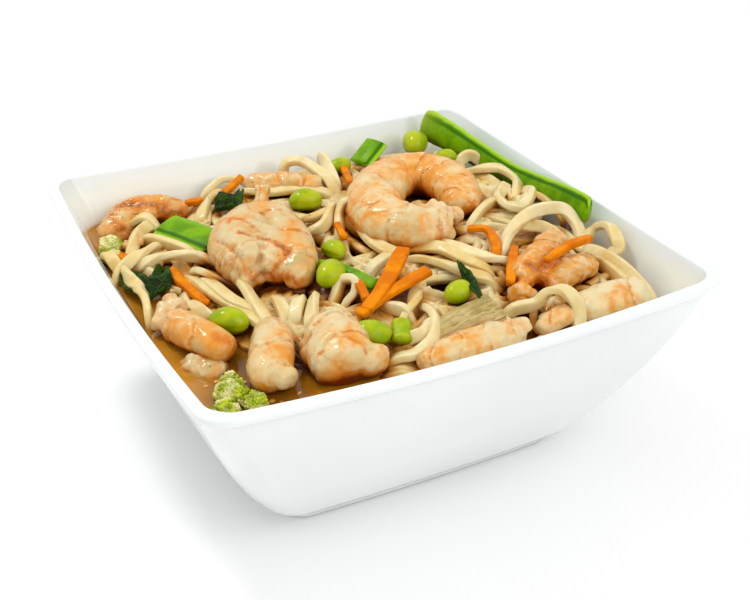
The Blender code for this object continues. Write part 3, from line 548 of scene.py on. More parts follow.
def squareRing(half, radius, height):  # a rounded square with bowed sides that sink at mid-side near the rim
    inner = half - radius
    swell = bowl["bow"] * (0.5 + 0.5 * height / bowl["height"]) / half
    sink = bowl["dip"] * max(0.0, (height - bowl["dipFrom"]) / (bowl["height"] - bowl["dipFrom"])) ** 2
    quarter = []
    for step in range(bowl["cornerSteps"] + 1):
        a = math.radians(90.0) * step / bowl["cornerSteps"]
        quarter.append((inner + radius * math.cos(a), inner + radius * math.sin(a)))
    for step in range(1, bowl["sideSteps"]):
        quarter.append((inner - 2.0 * inner * step / bowl["sideSteps"], half))
    ring = []
    for corner in range(4):
        c, s = ((1, 0), (0, 1), (-1, 0), (0, -1))[corner]
        for x, y in quarter:
            along = min(abs(x), abs(y)) / max(abs(x), abs(y))
            px = x * (1.0 + swell * (1.0 - (y / half) ** 2))
            py = y * (1.0 + swell * (1.0 - (x / half) ** 2))
            ring.append((px * c - py * s, px * s + py * c, height - sink * (1.0 - along**2)))
    return np.array(ring)


def makeBowl():
    rows = np.vstack([bowl["foot"], curveThrough(bowl["outside"], 4), curveThrough(bowl["lip"], 3),
                      curveThrough(bowl["inside"], 4), bowl["floor"]])
    rings = [squareRing(*row) for row in rows]
    inner = len(curveThrough(bowl["inside"], 4)) + len(bowl["floor"])
    inside = np.repeat([number >= len(rows) - inner for number in range(len(rows))], len(rings[0]))
    middles = [ring.mean(axis=0) for ring in (rings[0], rings[-1])]
    faces, uv = tubeFaces(len(rings), len(rings[0]))
    piece = meshPiece("bowlPorcelain", np.vstack([*rings, middles]), faces, finish["porcelain"], uv,
                      {"inside": [*inside, 0.0, 1.0]})
    piece.data.set_sharp_from_angle(angle=math.radians(bowl["sharpFrom"]))
    return belongs(piece, "porcelain", "bowl")


makeBowl()
print("bowl made")


# Heap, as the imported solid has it

heap = {"half": 76.5, "broth": 56.0, "rise": 6.0, "mound": 3.5, "front": 3.0, "bank": 3.6, "inset": 1.4}


def heapHeight(x, y):
    rise = 1.0 / (1.0 + np.exp(-(x + 0.35 * y + 32.0) / 14.0))
    mound = np.exp(-(((x - 25.0) / 40.0) ** 2) - ((y - 5.0) / 40.0) ** 2)
    front = np.exp(-(((y + 74.0) / 16.0) ** 2))
    bank = np.exp(-(((x - 78.0) / 14.0) ** 2) - ((y - 25.0) / 42.0) ** 2)
    return (heap["broth"] + heap["rise"] * rise + heap["mound"] * mound - heap["front"] * front * rise
            + heap["bank"] * bank)


def heapReach(angle):
    c, s = np.abs(np.cos(angle)), np.abs(np.sin(angle))
    reach = heap["half"] / (c**6 + s**6) ** (1.0 / 6.0)
    for middle, width, depth in ((223.0, 27.0, 0.29), (176.0, 22.0, 0.09)):
        away = (np.degrees(angle) - middle + 180.0) % 360.0 - 180.0
        reach = reach * (1.0 - depth * np.exp(-((away / width) ** 2)))
    return reach - heap["inset"]


def wallAt(height):  # half width of the bowl's inside
    rows = np.vstack([curveThrough(bowl["inside"], 4), bowl["floor"]])[::-1]
    return float(np.interp(height, rows[:, 2], rows[:, 0]))


# Broth: level, with a rim of surface tension at the wall

broth = {"level": 56.0, "heights": (9.7, 12.0, 16.0, 26.4, 43.4, 52.0), "gap": -0.25, "corner": 7.0,
         "rows": 46, "crowd": 1.7, "climb": 0.9, "climbOver": 1.4, "sink": 0.2, "ripple": 0.12,
         "rippleFrom": 4.0, "thinOver": 9.0}


def makeBroth():
    heights = (*broth["heights"], broth["level"])
    *rows, edge = [squareRing(wallAt(height) - broth["gap"], broth["corner"], height) for height in heights]
    rings = [*rows]
    shares = 1.0 - (np.linspace(0.0, 1.0, broth["rows"]) ** broth["crowd"])
    for share in shares[:-1]:
        ring = edge * (share, share, 0.0)
        away = wallAt(broth["level"]) * (1.0 - share)
        lift = broth["climb"] * math.exp(-away / broth["climbOver"])
        ring[:, 2] = broth["level"] + lift - broth["sink"]
        ring[:, 2] += broth["ripple"] * roughness(ring, 9.0, 3) * min(1.0, away / broth["rippleFrom"])
        rings.append(ring)
    nearWall = []
    for number, ring in enumerate(rings):
        away = 0.0 if number < len(rows) else wallAt(broth["level"]) * (1.0 - shares[number - len(rows)])
        nearWall += [math.exp(-away / broth["thinOver"])] * len(ring)
    middles = [(0.0, 0.0, rings[0][0, 2]), (0.0, 0.0, broth["level"] - broth["sink"])]
    faces, uv = tubeFaces(len(rings), len(edge))
    values = {"nearWall": [*nearWall, 0.0, 0.0]}
    piece = meshPiece("brothPool", np.vstack([*rings, middles]), faces, finish["broth"], uv, values)
    return belongs(piece, "broth", "broth")


makeBroth()
print("broth made")


# Prawns: lobes melted into one lump, then creased across and rumpled

prawns = {
    "voxel": 0.6, "soften": 4, "flatness": 0.82, "spacing": 0.8, "segmentLength": 9.5,
    "step": 0.45, "stepRun": 0.08, "crease": 0.3, "creaseRun": 0.06, "lumps": 0.55, "grain": 0.16,
    "cutLumps": 1.5, "cutFade": 8.0, "foldReach": 10, "foldDepth": 0.35, "tailBlush": 0.35,
    # how the creases slant, wander and waver, and where the first one lies
    "slant": 0.22, "wander": 0.35, "waver": 0.08, "first": 0.3,
    # each lobe is a path with half widths, and the first runs from the thick cut end to the tail; then how
    # orange, how dull and how rumpled it is
    "bodies": (
        ((((31, -3, 70.5, 7.5), (25, -6, 70.8, 9), (17, -3, 71.1, 10.5), (13, 8, 70.7, 10.8),
           (18, 24, 70.5, 11), (29, 36, 70, 10.6), (40, 39.5, 70, 10.2), (48, 34, 70.5, 10), (50, 23, 71, 9.6),
           (48, 12, 70.5, 8.4), (43, 3, 70, 6.4)),
          ((41, 3, 70, 3.8), (36, -3, 69.5, 3.2)), ((31, 3, 72, 5.5), (29, -5, 74, 5.6), (22, -8, 74, 5.2))),
         0.3, 0.1, 0.9),
        ((((-35, 4, 66, 10), (-39, 9, 67, 11.4), (-37, 18, 67.5, 12.4), (-30, 27, 68.5, 10.5),
           (-24, 27, 69.5, 8.8), (-21.5, 17, 69.5, 7.8), (-23, 5, 68.5, 7.4), (-26, -5, 67, 6.6),
           (-29.5, -13, 64, 4.4)),
          ((-30, 18, 68, 9.5), (-31, 0, 66.5, 8.5), (-33, -7, 64, 6)),
          ((-24, 34, 71, 3.2), (-21, 39, 74, 2.8), (-19, 43, 76.5, 3.4)),
          ((-46, 14, 64.5, 5), (-42, 4, 64.5, 6.5), (-38, -3, 63.5, 6))), 0.1, 0.65, 0.8),
        ((((-73, -9, 61, 5.4), (-71, -17, 61, 6.4), (-66, -29, 60.5, 6.2), (-62, -36, 59, 4.8)),
          ((-74, -10, 60, 4.2), (-78, -5, 60.5, 3.2)), ((-72, -8, 61, 4), (-74.5, -0.5, 62, 3.2)),
          ((-70, -7, 61.5, 4), (-70, 3.5, 61.5, 3)), ((-73, -15, 59.5, 4.5), (-76.5, -18, 58, 4.2))),
         0.65, 0.4, 0.4),
        ((((-45, -30, 61.5, 5.4), (-49, -37, 62.5, 6.6), (-52, -44, 62, 7.2), (-56, -52, 60.5, 7.3),
           (-57, -59, 58.5, 6.4)), ((-54, -55, 60.5, 5.4), (-52, -60, 59.5, 4.8))), 0.15, 0.3, 0.8),
        ((((-29, -39, 63, 6.4), (-32, -46, 64, 9.2), (-34, -55, 63, 10.8), (-35, -65, 60.5, 10.4)),
          ((-38, -50, 61.5, 7), (-44, -46, 60.5, 5.8)), ((-28, -57, 62.5, 7), (-25, -66, 60.5, 6.5))),
         0.05, 0.15, 0.7),
        ((((-71, 58, 58.5, 6), (-69, 66, 60, 7), (-60, 72, 61.5, 7.4), (-50, 70, 62, 6.6), (-43, 64, 61, 5)),
          ((-72, 52, 58.5, 3), (-67, 50, 60, 2.8), (-64, 54, 61.5, 2.6)),
          ((-62, 66, 64, 4.2), (-53, 64, 64.5, 4.2))), 0.6, 0.9, 1.9),
        ((((-16, 69, 65.3, 4.8), (-7, 62, 66.8, 5.7), (4, 56, 66.8, 5), (10, 52, 66.2, 4)),), 0.35, 0.4, 1.2),
        ((((65, -29, 67.5, 3.4), (59, -33, 69.5, 4.8), (51, -39, 69.5, 5.4), (42, -44, 68, 5.8),
           (35, -49, 66.5, 5)),
          ((42, -51, 66, 5.4), (51, -50, 67, 6.2), (60, -49, 67, 5.6), (66, -46, 66, 4.2)),
          ((38, -52, 65, 5.4), (30, -53, 64, 4.8))), 0.65, 0.35, 2.0),
        ((((72, -68, 63.5, 5.4), (66, -69, 64.5, 6.8), (57, -69.5, 64.5, 7.4), (49, -69, 64, 6.8),
           (44, -69, 63, 5.4)),
          ((43, -68, 63.5, 4.6), (35, -69, 62.5, 4), (29, -71, 61, 2.8)),
          ((40, -65, 63, 3), (32, -67, 62, 2.4))), -0.15, 0.0, 0.6),
        ((((23, -70, 61.5, 4.6), (15, -71, 63, 6.4), (4, -70.5, 62.5, 6.6), (-5, -69.5, 61.5, 5.6),
           (-14, -69, 60, 4)),
          ((20, -70, 64, 3.6), (26, -70, 64.5, 3.4))), 0.3, 0.2, 1.2),
        ((((-74, -26, 54, 5.0), (-71, -33, 54.4, 6), (-66, -40, 54, 5)),
          ((-75, -27, 54, 3.6), (-76, -33, 54, 3.4))), 0.0, 0.7, 1.3),
    ),
    "dents": ((1, (-36, 9.5, 78), 3.4, 2.4), (1, (-31, 3, 76), 2.6, 1.8), (4, (-40, -50, 66), 2.5, 1.5)),
    # seams along carved grooves, painted with shade in the creases and partly scorched brown skin: which
    # prawn, a line on its skin, half width, depth and how brown
    "seams": (
        (1, ((-40.5, 10.5, 76.5), (-37, 10, 74.5), (-34, 7.5, 74), (-30.5, 3, 73.5), (-28.5, -2, 73)),
         1.5, 0.5, 1.0),
        (1, ((-42, 18.5, 76.5), (-39.5, 21, 77), (-37, 18, 77.5), (-35, 13, 76.5), (-33.5, 11, 75)),
         1.2, 0.3, 0.75),
        (1, ((-28, -2, 72.5), (-31.5, -5.5, 71.5), (-34.5, -6.5, 69), (-36.5, -5.5, 64.5)), 1.3, 1.0, 0.85),
        (1, ((-48.5, 14.5, 73), (-46.5, 7.5, 73.5), (-44.5, 0, 71), (-44, -2.5, 67)), 0.9, 0.6, 0.4),
        (1, ((-41.5, -4.5, 67), (-35.5, -6.5, 66), (-32, -10, 66.5), (-29.5, -13.5, 65.5)), 2.6, 0.2, 0.8),
        (5, ((-70.5, 68.5, 65.5), (-65, 71.5, 66.5), (-57.5, 65.5, 68), (-52, 64.5, 65), (-46, 62.5, 62)),
         3.6, 0.3, 1.0),
        (5, ((-72.5, 66.5, 65), (-70.5, 60.5, 64.5), (-69.5, 58.5, 63)), 2.2, 0.3, 0.7),
        (7, ((39.5, -46.5, 72), (42.5, -49, 70.5), (48, -49.5, 71.5), (43, -53.5, 68)), 1.8, 0.4, 0.85),
        (0, ((46.5, 2, 72.5), (50, 2, 69)), 2.6, 0.2, 0.6),
        (0, ((35, -6, 74.5), (31, -4, 74)), 2.2, 0.2, 0.5),
        (4, ((-42.5, -59.5, 67.5), (-37.5, -57.5, 71), (-32.5, -61, 70.5), (-29.5, -65, 66.5)),
         0.9, 0.4, 0.6),
        (3, ((-50.5, -39, 68), (-43, -37, 64), (-45.5, -46.5, 62)), 1.2, 0.2, 0.55),
        (2, ((-65, -32.5, 65), (-61, -34.5, 61.5), (-61.5, -36, 58.5)), 3.0, 0.2, 0.65),
    ),
}


def melted(name, lobes, material):  # tubes grown together by a voxel remesh
    tubes = []
    for lobe in lobes:
        path = smoothPath(lobe, prawns["spacing"])
        radius = path[:, 3] * roundedEnds(path[:, :3], 0.8 * float(min(path[0, 3], path[-1, 3])), 2.2)
        outline = superEllipse(2.0, 2.0 * prawns["flatness"], 2.0, 28)
        tubes.append(sweep("lobe", path[:, :3], outline, material, radius))
    piece = joined(name, tubes)
    remesh = piece.modifiers.new("Melt", "REMESH")
    remesh.mode = "VOXEL"
    remesh.voxel_size = prawns["voxel"] * mm
    smooth = piece.modifiers.new("Soften", "SMOOTH")
    smooth.iterations = prawns["soften"]
    smooth.factor = 0.5
    return bake(piece)


def vectorsOf(rows, key):
    vectors = np.empty(len(rows) * 3, np.float32)
    rows.foreach_get(key, vectors)
    return vectors.reshape(-1, 3).astype(float)


def placesOf(piece):  # a piece's points in millimetres
    return vectorsOf(piece.data.vertices, "co") / mm


def normalsOf(piece):
    return vectorsOf(piece.data.vertex_normals, "vector")


def moved(piece, points):
    piece.data.vertices.foreach_set("co", (points * mm).astype(np.float32).ravel())
    piece.data.update()


def foldsOf(piece, rounds):  # how far each point lies in a valley, above nought, or on a ridge, below nought
    points = placesOf(piece)
    pairs = np.empty(len(piece.data.edges) * 2, np.int32)
    piece.data.edges.foreach_get("vertices", pairs)
    pairs = pairs.reshape(-1, 2)
    count = np.bincount(pairs.ravel(), minlength=len(points))[:, None]
    soft = points.copy()
    for _ in range(rounds):
        total = np.zeros_like(soft)
        for k in range(3):
            total[:, k] = (np.bincount(pairs[:, 0], soft[pairs[:, 1], k], len(points))
                           + np.bincount(pairs[:, 1], soft[pairs[:, 0], k], len(points)))
        soft = 0.5 * soft + 0.5 * total / np.maximum(count, 1)
    return np.sum((soft - points) * normalsOf(piece), axis=1)


def makePrawn(index, lobes, blush, dull, rumple):
    piece = melted(f"prawnFlesh{index + 1}", lobes, finish["prawn"])
    points, normals = placesOf(piece), normalsOf(piece)
    path = smoothPath(lobes[0], prawns["spacing"])[:, :3]
    across, _ = axesAlong(path)
    heading = np.diff(path[:, :2], axis=0)
    turning = np.sum(heading[:-1, 0] * heading[1:, 1] - heading[:-1, 1] * heading[1:, 0])
    outward = across if turning >= 0.0 else -across
    nearest = np.argmin(((points[:, None, :] - path[None, :, :]) ** 2).sum(axis=2), axis=1)
    tangent = np.gradient(path, axis=0)
    tangent /= np.linalg.norm(tangent, axis=1)[:, None]
    offset = points - path[nearest]
    run = nearest * prawns["spacing"] + np.sum(offset * tangent[nearest], axis=1)
    back = np.sum(offset * outward[nearest], axis=1) / np.maximum(np.linalg.norm(offset, axis=1), 0.5)
    share = run / (prawns["spacing"] * len(path))
    warp = roughness(points, 11.0, index + 1)
    wrinkle = roughness(points, 3.2, index + 80)
    phase = (run * min(rumple, 1.0) / prawns["segmentLength"] + prawns["slant"] * (1.0 - back)
             + prawns["wander"] * warp + prawns["waver"] * wrinkle + prawns["first"])
    within = phase % 1.0
    edge = np.minimum(within, 1.0 - within)
    rise = np.minimum(within, 1.0 - prawns["stepRun"]) - 0.5
    overlap = prawns["step"] * rise * np.clip((1.0 - within) / prawns["stepRun"], 0.0, 1.0)
    strength = 0.35 + 0.65 * np.clip(0.5 + 1.5 * roughness(points, 9.0, index + 30), 0.0, 1.0)
    cut = np.exp(-np.maximum(run, 0.0) / prawns["cutFade"])
    push = (overlap - prawns["crease"] * np.exp(-((edge / prawns["creaseRun"]) ** 2))) * strength
    lumps = prawns["lumps"] * roughness(points, 4.6, index + 20)
    lumps += prawns["grain"] * roughness(points, 1.5, index + 40)
    push += rumple * lumps
    for number, place, reach, depth in prawns["dents"]:
        if number == index:
            away = np.linalg.norm(points - np.array(place), axis=1)
            push -= depth * np.exp(-((away / reach) ** 2))
    # how brown each point is near a seam, for the painted crease shade and scorched skin
    creaseShadeAndCrust = np.zeros(len(points))
    for number, line, reach, depth, brown in prawns["seams"]:
        if number == index:
            seam = smoothPath(line, prawns["spacing"])
            away = np.sqrt(((points[:, None, :] - seam[None, :, :]) ** 2).sum(axis=2).min(axis=1))
            groove = np.exp(-((away / reach) ** 2))
            push -= depth * groove
            creaseShadeAndCrust = np.maximum(creaseShadeAndCrust, brown * groove)
    push += prawns["cutLumps"] * cut * roughness(points, 2.8, index + 60)
    moved(piece, points + normals * push[:, None])
    fold = foldsOf(piece, prawns["foldReach"])
    marked(piece.data, {"phase": phase, "cut": cut, "fold": np.clip(fold / prawns["foldDepth"], -1.0, 1.0),
                        "blush": blush + prawns["tailBlush"] * np.clip(share, 0.0, 1.0),
                        "dull": np.full(len(points), dull), "creaseShadeAndCrust": creaseShadeAndCrust})
    piece.data.shade_smooth()
    return belongs(piece, "prawn", f"prawn_{index + 1}")


prawnPieces = [makePrawn(index, *body) for index, body in enumerate(prawns["bodies"])]
print("prawns made")


# Edamame beans: place, heading and size over a full bean

beans = {
    "length": 12.5, "width": 9.4, "halfHeight": 0.46, "lean": 0.9, "seam": 0.35, "dent": 0.035, "rings": 40,
    "places": (((-22, -52.5, 65), -30, 1.05), ((-19.5, -16, 68), 50, 1.05), ((-3, 40, 68), 160, 1.02),
               ((-57.5, -20, 61), 150, 1.1), ((14, -44, 66.5), 25, 0.9), ((24, 67, 67), 10, 0.8),
               ((59.5, 70, 69), 70, 1.15), ((64, 50, 69), 150, 0.75), ((-10, 1, 66.5), 110, 0.8)),
}


def makeBean(index, place, heading, size):
    rows = sides = beans["rings"]
    t = np.linspace(-0.999, 0.999, rows)[:, None]
    a = np.linspace(0.0, math.tau, sides, endpoint=False)[None, :]
    girth = np.sqrt(1.0 - t**2)
    seam = beans["seam"] * np.exp(-((np.minimum(a, math.tau - a) / 0.16) ** 2))
    x = 0.5 * beans["length"] * size * t * np.ones_like(a)
    y = (0.5 * beans["width"] * size * girth - seam * girth) * np.cos(a) - beans["lean"] * (1.0 - t**2)
    z = beans["halfHeight"] * beans["width"] * size * girth * np.sin(a)
    middle = np.array(place, float)
    local = np.stack([*turned(x, y, heading), z], axis=-1) + middle
    dents = roughness(local, 4.0, index).reshape(rows, sides)
    local = local + (local - middle) * beans["dent"] * dents[:, :, None]
    points = np.vstack([local.reshape(-1, 3), local[0].mean(axis=0)[None], local[-1].mean(axis=0)[None]])
    faces, uv = tubeFaces(rows, sides)
    # how high each point sits around the bean, for the painted shade on its underside
    top = (z / (beans["halfHeight"] * beans["width"] * size)) * np.ones_like(x)
    values = {"back": np.concatenate([top.ravel(), [0.0, 0.0]])}
    piece = meshPiece(f"edamame{index + 1}", points, faces, finish["bean"], uv, values)
    return belongs(piece, "bean", f"bean_{index + 1}")


beanPieces = [makeBean(index, *bean) for index, bean in enumerate(beans["places"])]


# Pea pods: path, width, thickness and tilt

pods = {
    "shapes": (
        (((69.5, 79, 73), (74, 64, 71), (78, 45, 68.5), (80.5, 24, 67.5), (81, 6, 69.5), (80.5, -10, 72),
          (80, -25, 73.6)), 10.4, 4.0, 102),
        (((-54.5, 55, 63), (-49, 43, 63.6), (-43, 30, 63.6)), 12.5, 3.0, -14),
        (((33, 67, 65.5), (44, 72, 72)), 11.0, 3.0, 0),
        (((-22, -1, 65), (-14, -14, 66.5), (-9, -30, 67)), 5.6, 2.4, -35),
    ),
    "seamWidth": 1.3, "sides": 44,
    # width of the whole pod along its length
    "swell": ((0.0, 0.03, 0.15, 0.3, 0.5, 0.94, 1.0), (1.15, 1.3, 1.2, 1.05, 0.9, 1.0, 0.95)),
}


def makePod(index, points, width, thickness, tilt):
    path = smoothPath(points, 0.8)
    a = np.linspace(0.0, math.tau, pods["sides"], endpoint=False)
    lens = np.abs(np.sin(a)) ** 1.25 * np.sign(np.sin(a))
    outline = np.column_stack([0.5 * width * np.cos(a), 0.5 * thickness * lens])
    seam = np.exp(-((np.minimum(a, math.tau - a) / 0.3) ** 2))
    outline[:, 1] += 0.5 * pods["seamWidth"] * seam * np.sign(np.sin(a)) * np.abs(np.sin(a)) ** 0.3
    scale = roundedEnds(path, 1.2, 3.0)
    tip = np.zeros(len(path))
    if index == 0:
        along = np.linspace(0.0, 1.0, len(path))
        scale = scale * np.interp(along, *pods["swell"])
        tip = np.exp(-along / 0.05)
    side = 0.5 + 0.5 * np.cos(a)[None, :]
    piece = sweep(f"peaPod{index + 1}", path, outline, finish["pod"], scale, tilt, rough=0.25, seed=index + 5,
                  values={"across": side, "tip": tip[:, None]})
    return belongs(piece, "pod", f"pod_{index + 1}")


podPieces = [makePod(index, *pod) for index, pod in enumerate(pods["shapes"])]


# Carrot strips: path, width and thickness

carrots = {
    "strips": (
        (((7, -20, 73), (-8, -34, 69), (-18, -41, 66)), 5.0, 2.4),
        (((9, -34, 71), (-7, -37, 68), (-21, -41, 65)), 4.4, 2.2),
        (((-13.5, -26, 68), (-15, -36, 66.5)), 3.2, 2.4),
        (((-18, 66, 71), (-27, 64, 66)), 3.4, 2.2),
        (((38, -10, 69), (43, -15, 70), (41, -24, 69.5), (37, -32, 68)), 3.2, 2.4),
        (((45, -31, 69.5), (38, -40, 69), (31, -50, 68)), 3.2, 2.8),
        (((67, -44, 74), (60, -46, 75), (54, -47, 74.6), (44, -51, 74)), 2.8, 2.4),
        (((-63, 24, 60.5), (-61, 10, 60), (-59, -4, 60)), 3.6, 2.6),
        (((25, 66, 67), (18, 44, 69)), 3.0, 2.2),
        (((-2, 15, 69), (-4, 4, 68.5)), 2.6, 2.2),
        (((-76, 46, 60), (-73, 39, 59.5)), 3.6, 2.4),
        (((-41, 71, 62), (-34, 68, 63)), 3.2, 2.2),
    ),
    "edgePower": 5.0, "endRound": 0.8,
}


def makeCarrot(index, points, width, thickness):
    path = smoothPath(points, 0.5)
    outline = superEllipse(width, thickness, carrots["edgePower"], 28)
    waver = 1.0 + 0.1 * np.sin(np.linspace(0.0, 5.0, len(path)) + index)
    scale = roundedEnds(path, carrots["endRound"], 3.0) * waver
    piece = sweep(f"carrotStrip{index + 1}", path, outline, finish["carrot"], scale, rough=0.22,
                  seed=index + 9)
    return belongs(piece, "carrot", f"carrot_{index + 1}")


carrotPieces = [makeCarrot(index, *strip) for index, strip in enumerate(carrots["strips"])]


# Stalk and spring onion

stalks = {
    "stalk": {"piece": "paleStalk", "coat": "stalk", "path": ((-5, -60, 62), (8, -59, 64.5), (21, -58, 66)),
              "spacing": 0.6, "width": 12.0, "height": 4.4, "power": 2.2, "sides": 78, "tilt": -15, "ribs": 11,
              "ribDepth": 0.035, "endRound": 0.8, "firstWidth": 0.9, "rough": 0.3, "seed": 2, "values": None},
    "spring_onion": {"piece": "springOnion", "coat": "bean", "path": ((-10, -50, 64.5), (-14, -58, 62.5)),
                     "spacing": 0.4, "width": 6.5, "height": 5.0, "power": 2.0, "sides": 40, "tilt": 0.0,
                     "ribs": 8, "ribDepth": 0.03, "endRound": 0.7, "firstWidth": 1.0, "rough": 0.25,
                     "seed": 4, "values": {"back": 0.3}},
}


def makeStalk(node, shape):
    path = smoothPath(shape["path"], shape["spacing"])
    sides = shape["sides"]
    outline = superEllipse(shape["width"], shape["height"], shape["power"], sides)
    outline *= (1.0 + shape["ribDepth"] * np.cos(np.arange(sides) * math.tau * shape["ribs"] / sides))[:, None]
    scale = roundedEnds(path, shape["endRound"], 3.0) * np.linspace(shape["firstWidth"], 1.0, len(path))
    piece = sweep(shape["piece"], path, outline, finish[shape["coat"]], scale, shape["tilt"],
                  rough=shape["rough"], seed=shape["seed"], values=shape["values"])
    return belongs(piece, node, node)


stalkPieces = [makeStalk(node, shape) for node, shape in stalks.items()]


# Leaves: middle, length, width, heading, lift across the leaf and height of its waves

leaves = {
    "shapes": (((-28, 56, 66), 14.0, 9.0, 25, 3.0, 1.6), ((-69, 17, 60.5), 15.0, 8.0, 60, 3.0, 1.2),
               ((-75.5, 22, 59), 22.0, 8.0, 95, 1.0, 0.9), ((19, -44, 68.5), 21.0, 3.2, 82, 4.0, 0.4)),
    "thickness": 0.7, "rows": 46, "columns": 18,
}


def makeLeaf(index, place, length, width, heading, lift, wave):
    rows, columns = leaves["rows"], leaves["columns"]
    u, v = np.meshgrid(np.linspace(-0.5, 0.5, rows), np.linspace(-0.5, 0.5, columns), indexing="ij")
    across = v * (1.15 - (2.0 * u) ** 2 * 0.9)
    flutter = 0.5 * np.sin(26.0 * u + 3.0 * index) * np.abs(v) * 2.0 * wave
    z = lift * u + wave * np.sin(9.0 * u + 4.0 * v + index) + lift * 0.6 * np.abs(v) + 0.6 * flutter
    x, y = turned(u * length, across * width, heading)
    points = np.stack([place[0] + x, place[1] + y, place[2] + z], axis=-1).reshape(-1, 3)
    points[:, 2] += 0.35 * roughness(points, 2.2, index + 3)
    faces = []
    for i in range(rows - 1):
        for j in range(columns - 1):
            corner = i * columns + j
            faces.append((corner, corner + 1, corner + columns + 1, corner + columns))
    piece = meshPiece(f"darkLeaf{index + 1}", points, faces, finish["leaf"])
    solid = piece.modifiers.new("Thickness", "SOLIDIFY")
    solid.thickness = leaves["thickness"] * mm
    solid.offset = 0.0
    piece = bake(piece)
    piece.data.shade_smooth()
    return belongs(piece, "leaf", f"leaf_{index + 1}")


leafPieces = [makeLeaf(index, *leaf) for index, leaf in enumerate(leaves["shapes"])]
print("beans, pods, carrots, stalks and leaves made")


# Geometry Nodes: a piece on each point of a mesh, and a tube along each curve

def modifierTree(name, floats, whole=()):  # named inputs, with a seed and a material in each tree
    tree = bpy.data.node_groups.new(name, "GeometryNodeTree")
    tree.interface.new_socket("Geometry", in_out="OUTPUT", socket_type="NodeSocketGeometry")
    tree.interface.new_socket("Geometry", in_out="INPUT", socket_type="NodeSocketGeometry")
    for kind, labels in (("Float", floats), ("Int", (*whole, "Seed")), ("Material", ("Coat",))):
        for label in labels:
            tree.interface.new_socket(label, in_out="INPUT", socket_type=f"NodeSocket{kind}")
    entry = tree.nodes.new("NodeGroupInput")
    return tree, {socket.name: Wire(tree, socket) for socket in entry.outputs if socket.name}


def endTree(tree, shape, material):
    whole = shape.make("GeometryNodeRealizeInstances", {"Geometry": shape})
    coated = whole.make("GeometryNodeSetMaterial", {"Geometry": whole, "Material": material})
    tree.links.new(coated.socket, tree.nodes.new("NodeGroupOutput").inputs[0])


def runTree(piece, tree, **inputs):
    modifier = piece.modifiers.new(tree.name, "NODES")
    modifier.node_group = tree
    for item in tree.interface.items_tree:
        if item.in_out == "INPUT" and item.name in inputs:
            modifier[item.identifier] = inputs[item.name]
    return bake(piece)


def budTree():  # small round buds all over a surface
    tree, entry = modifierTree("budsOnSurface", ("Density", "Size"))
    wire = Wire(tree)
    sockets = {"Mesh": entry["Geometry"], "Distance Min": entry["Size"], "Density Max": entry["Density"],
               "Seed": entry["Seed"]}
    spots = wire.make("GeometryNodeDistributePointsOnFaces", sockets, distribute_method="POISSON")
    bud = wire.make("GeometryNodeMeshUVSphere", {"Segments": 8, "Rings": 5, "Radius": entry["Size"]})
    bud = wire.make("GeometryNodeSetShadeSmooth", {0: bud})
    grade = wire.make("FunctionNodeRandomValue", {2: 0.55, 3: 1.15, "Seed": entry["Seed"]}, out=1,
                      data_type="FLOAT")
    copies = wire.make("GeometryNodeInstanceOnPoints", {"Points": spots, "Instance": bud, "Scale": grade})
    joinedUp = tree.nodes.new("GeometryNodeJoinGeometry")
    tree.links.new(entry["Geometry"].socket, joinedUp.inputs[0])
    tree.links.new(copies.socket, joinedUp.inputs[0])
    endTree(tree, Wire(tree, joinedUp.outputs[0]), entry["Coat"])
    return tree


def bitTree():  # an uneven grain on each point
    tree, entry = modifierTree("bitOnPoint", ("Size", "Flatness"), ("Detail",))
    wire = Wire(tree)
    spots = wire.make("GeometryNodeMeshToPoints", {"Mesh": entry["Geometry"]})
    bit = wire.make("GeometryNodeMeshIcoSphere", {"Radius": entry["Size"], "Subdivisions": entry["Detail"]})
    squash = wire.make("ShaderNodeCombineXYZ", {"X": 1.0, "Y": 1.0, "Z": entry["Flatness"]})
    bit = wire.make("GeometryNodeTransform", {"Geometry": bit, "Scale": squash})
    bit = wire.make("GeometryNodeSetShadeSmooth", {0: bit})
    grade, spin = [wire.make("FunctionNodeRandomValue", {0: least, 1: most, "Seed": entry["Seed"]},
                             data_type="FLOAT_VECTOR")
                   for least, most in (((0.45, 0.35, 0.5), (1.3, 1.1, 1.1)), ((0, 0, 0), (0, 0, math.tau)))]
    copies = wire.make("GeometryNodeInstanceOnPoints", {"Points": spots, "Instance": bit, "Scale": grade,
                                                        "Rotation": spin})
    endTree(tree, copies, entry["Coat"])
    return tree


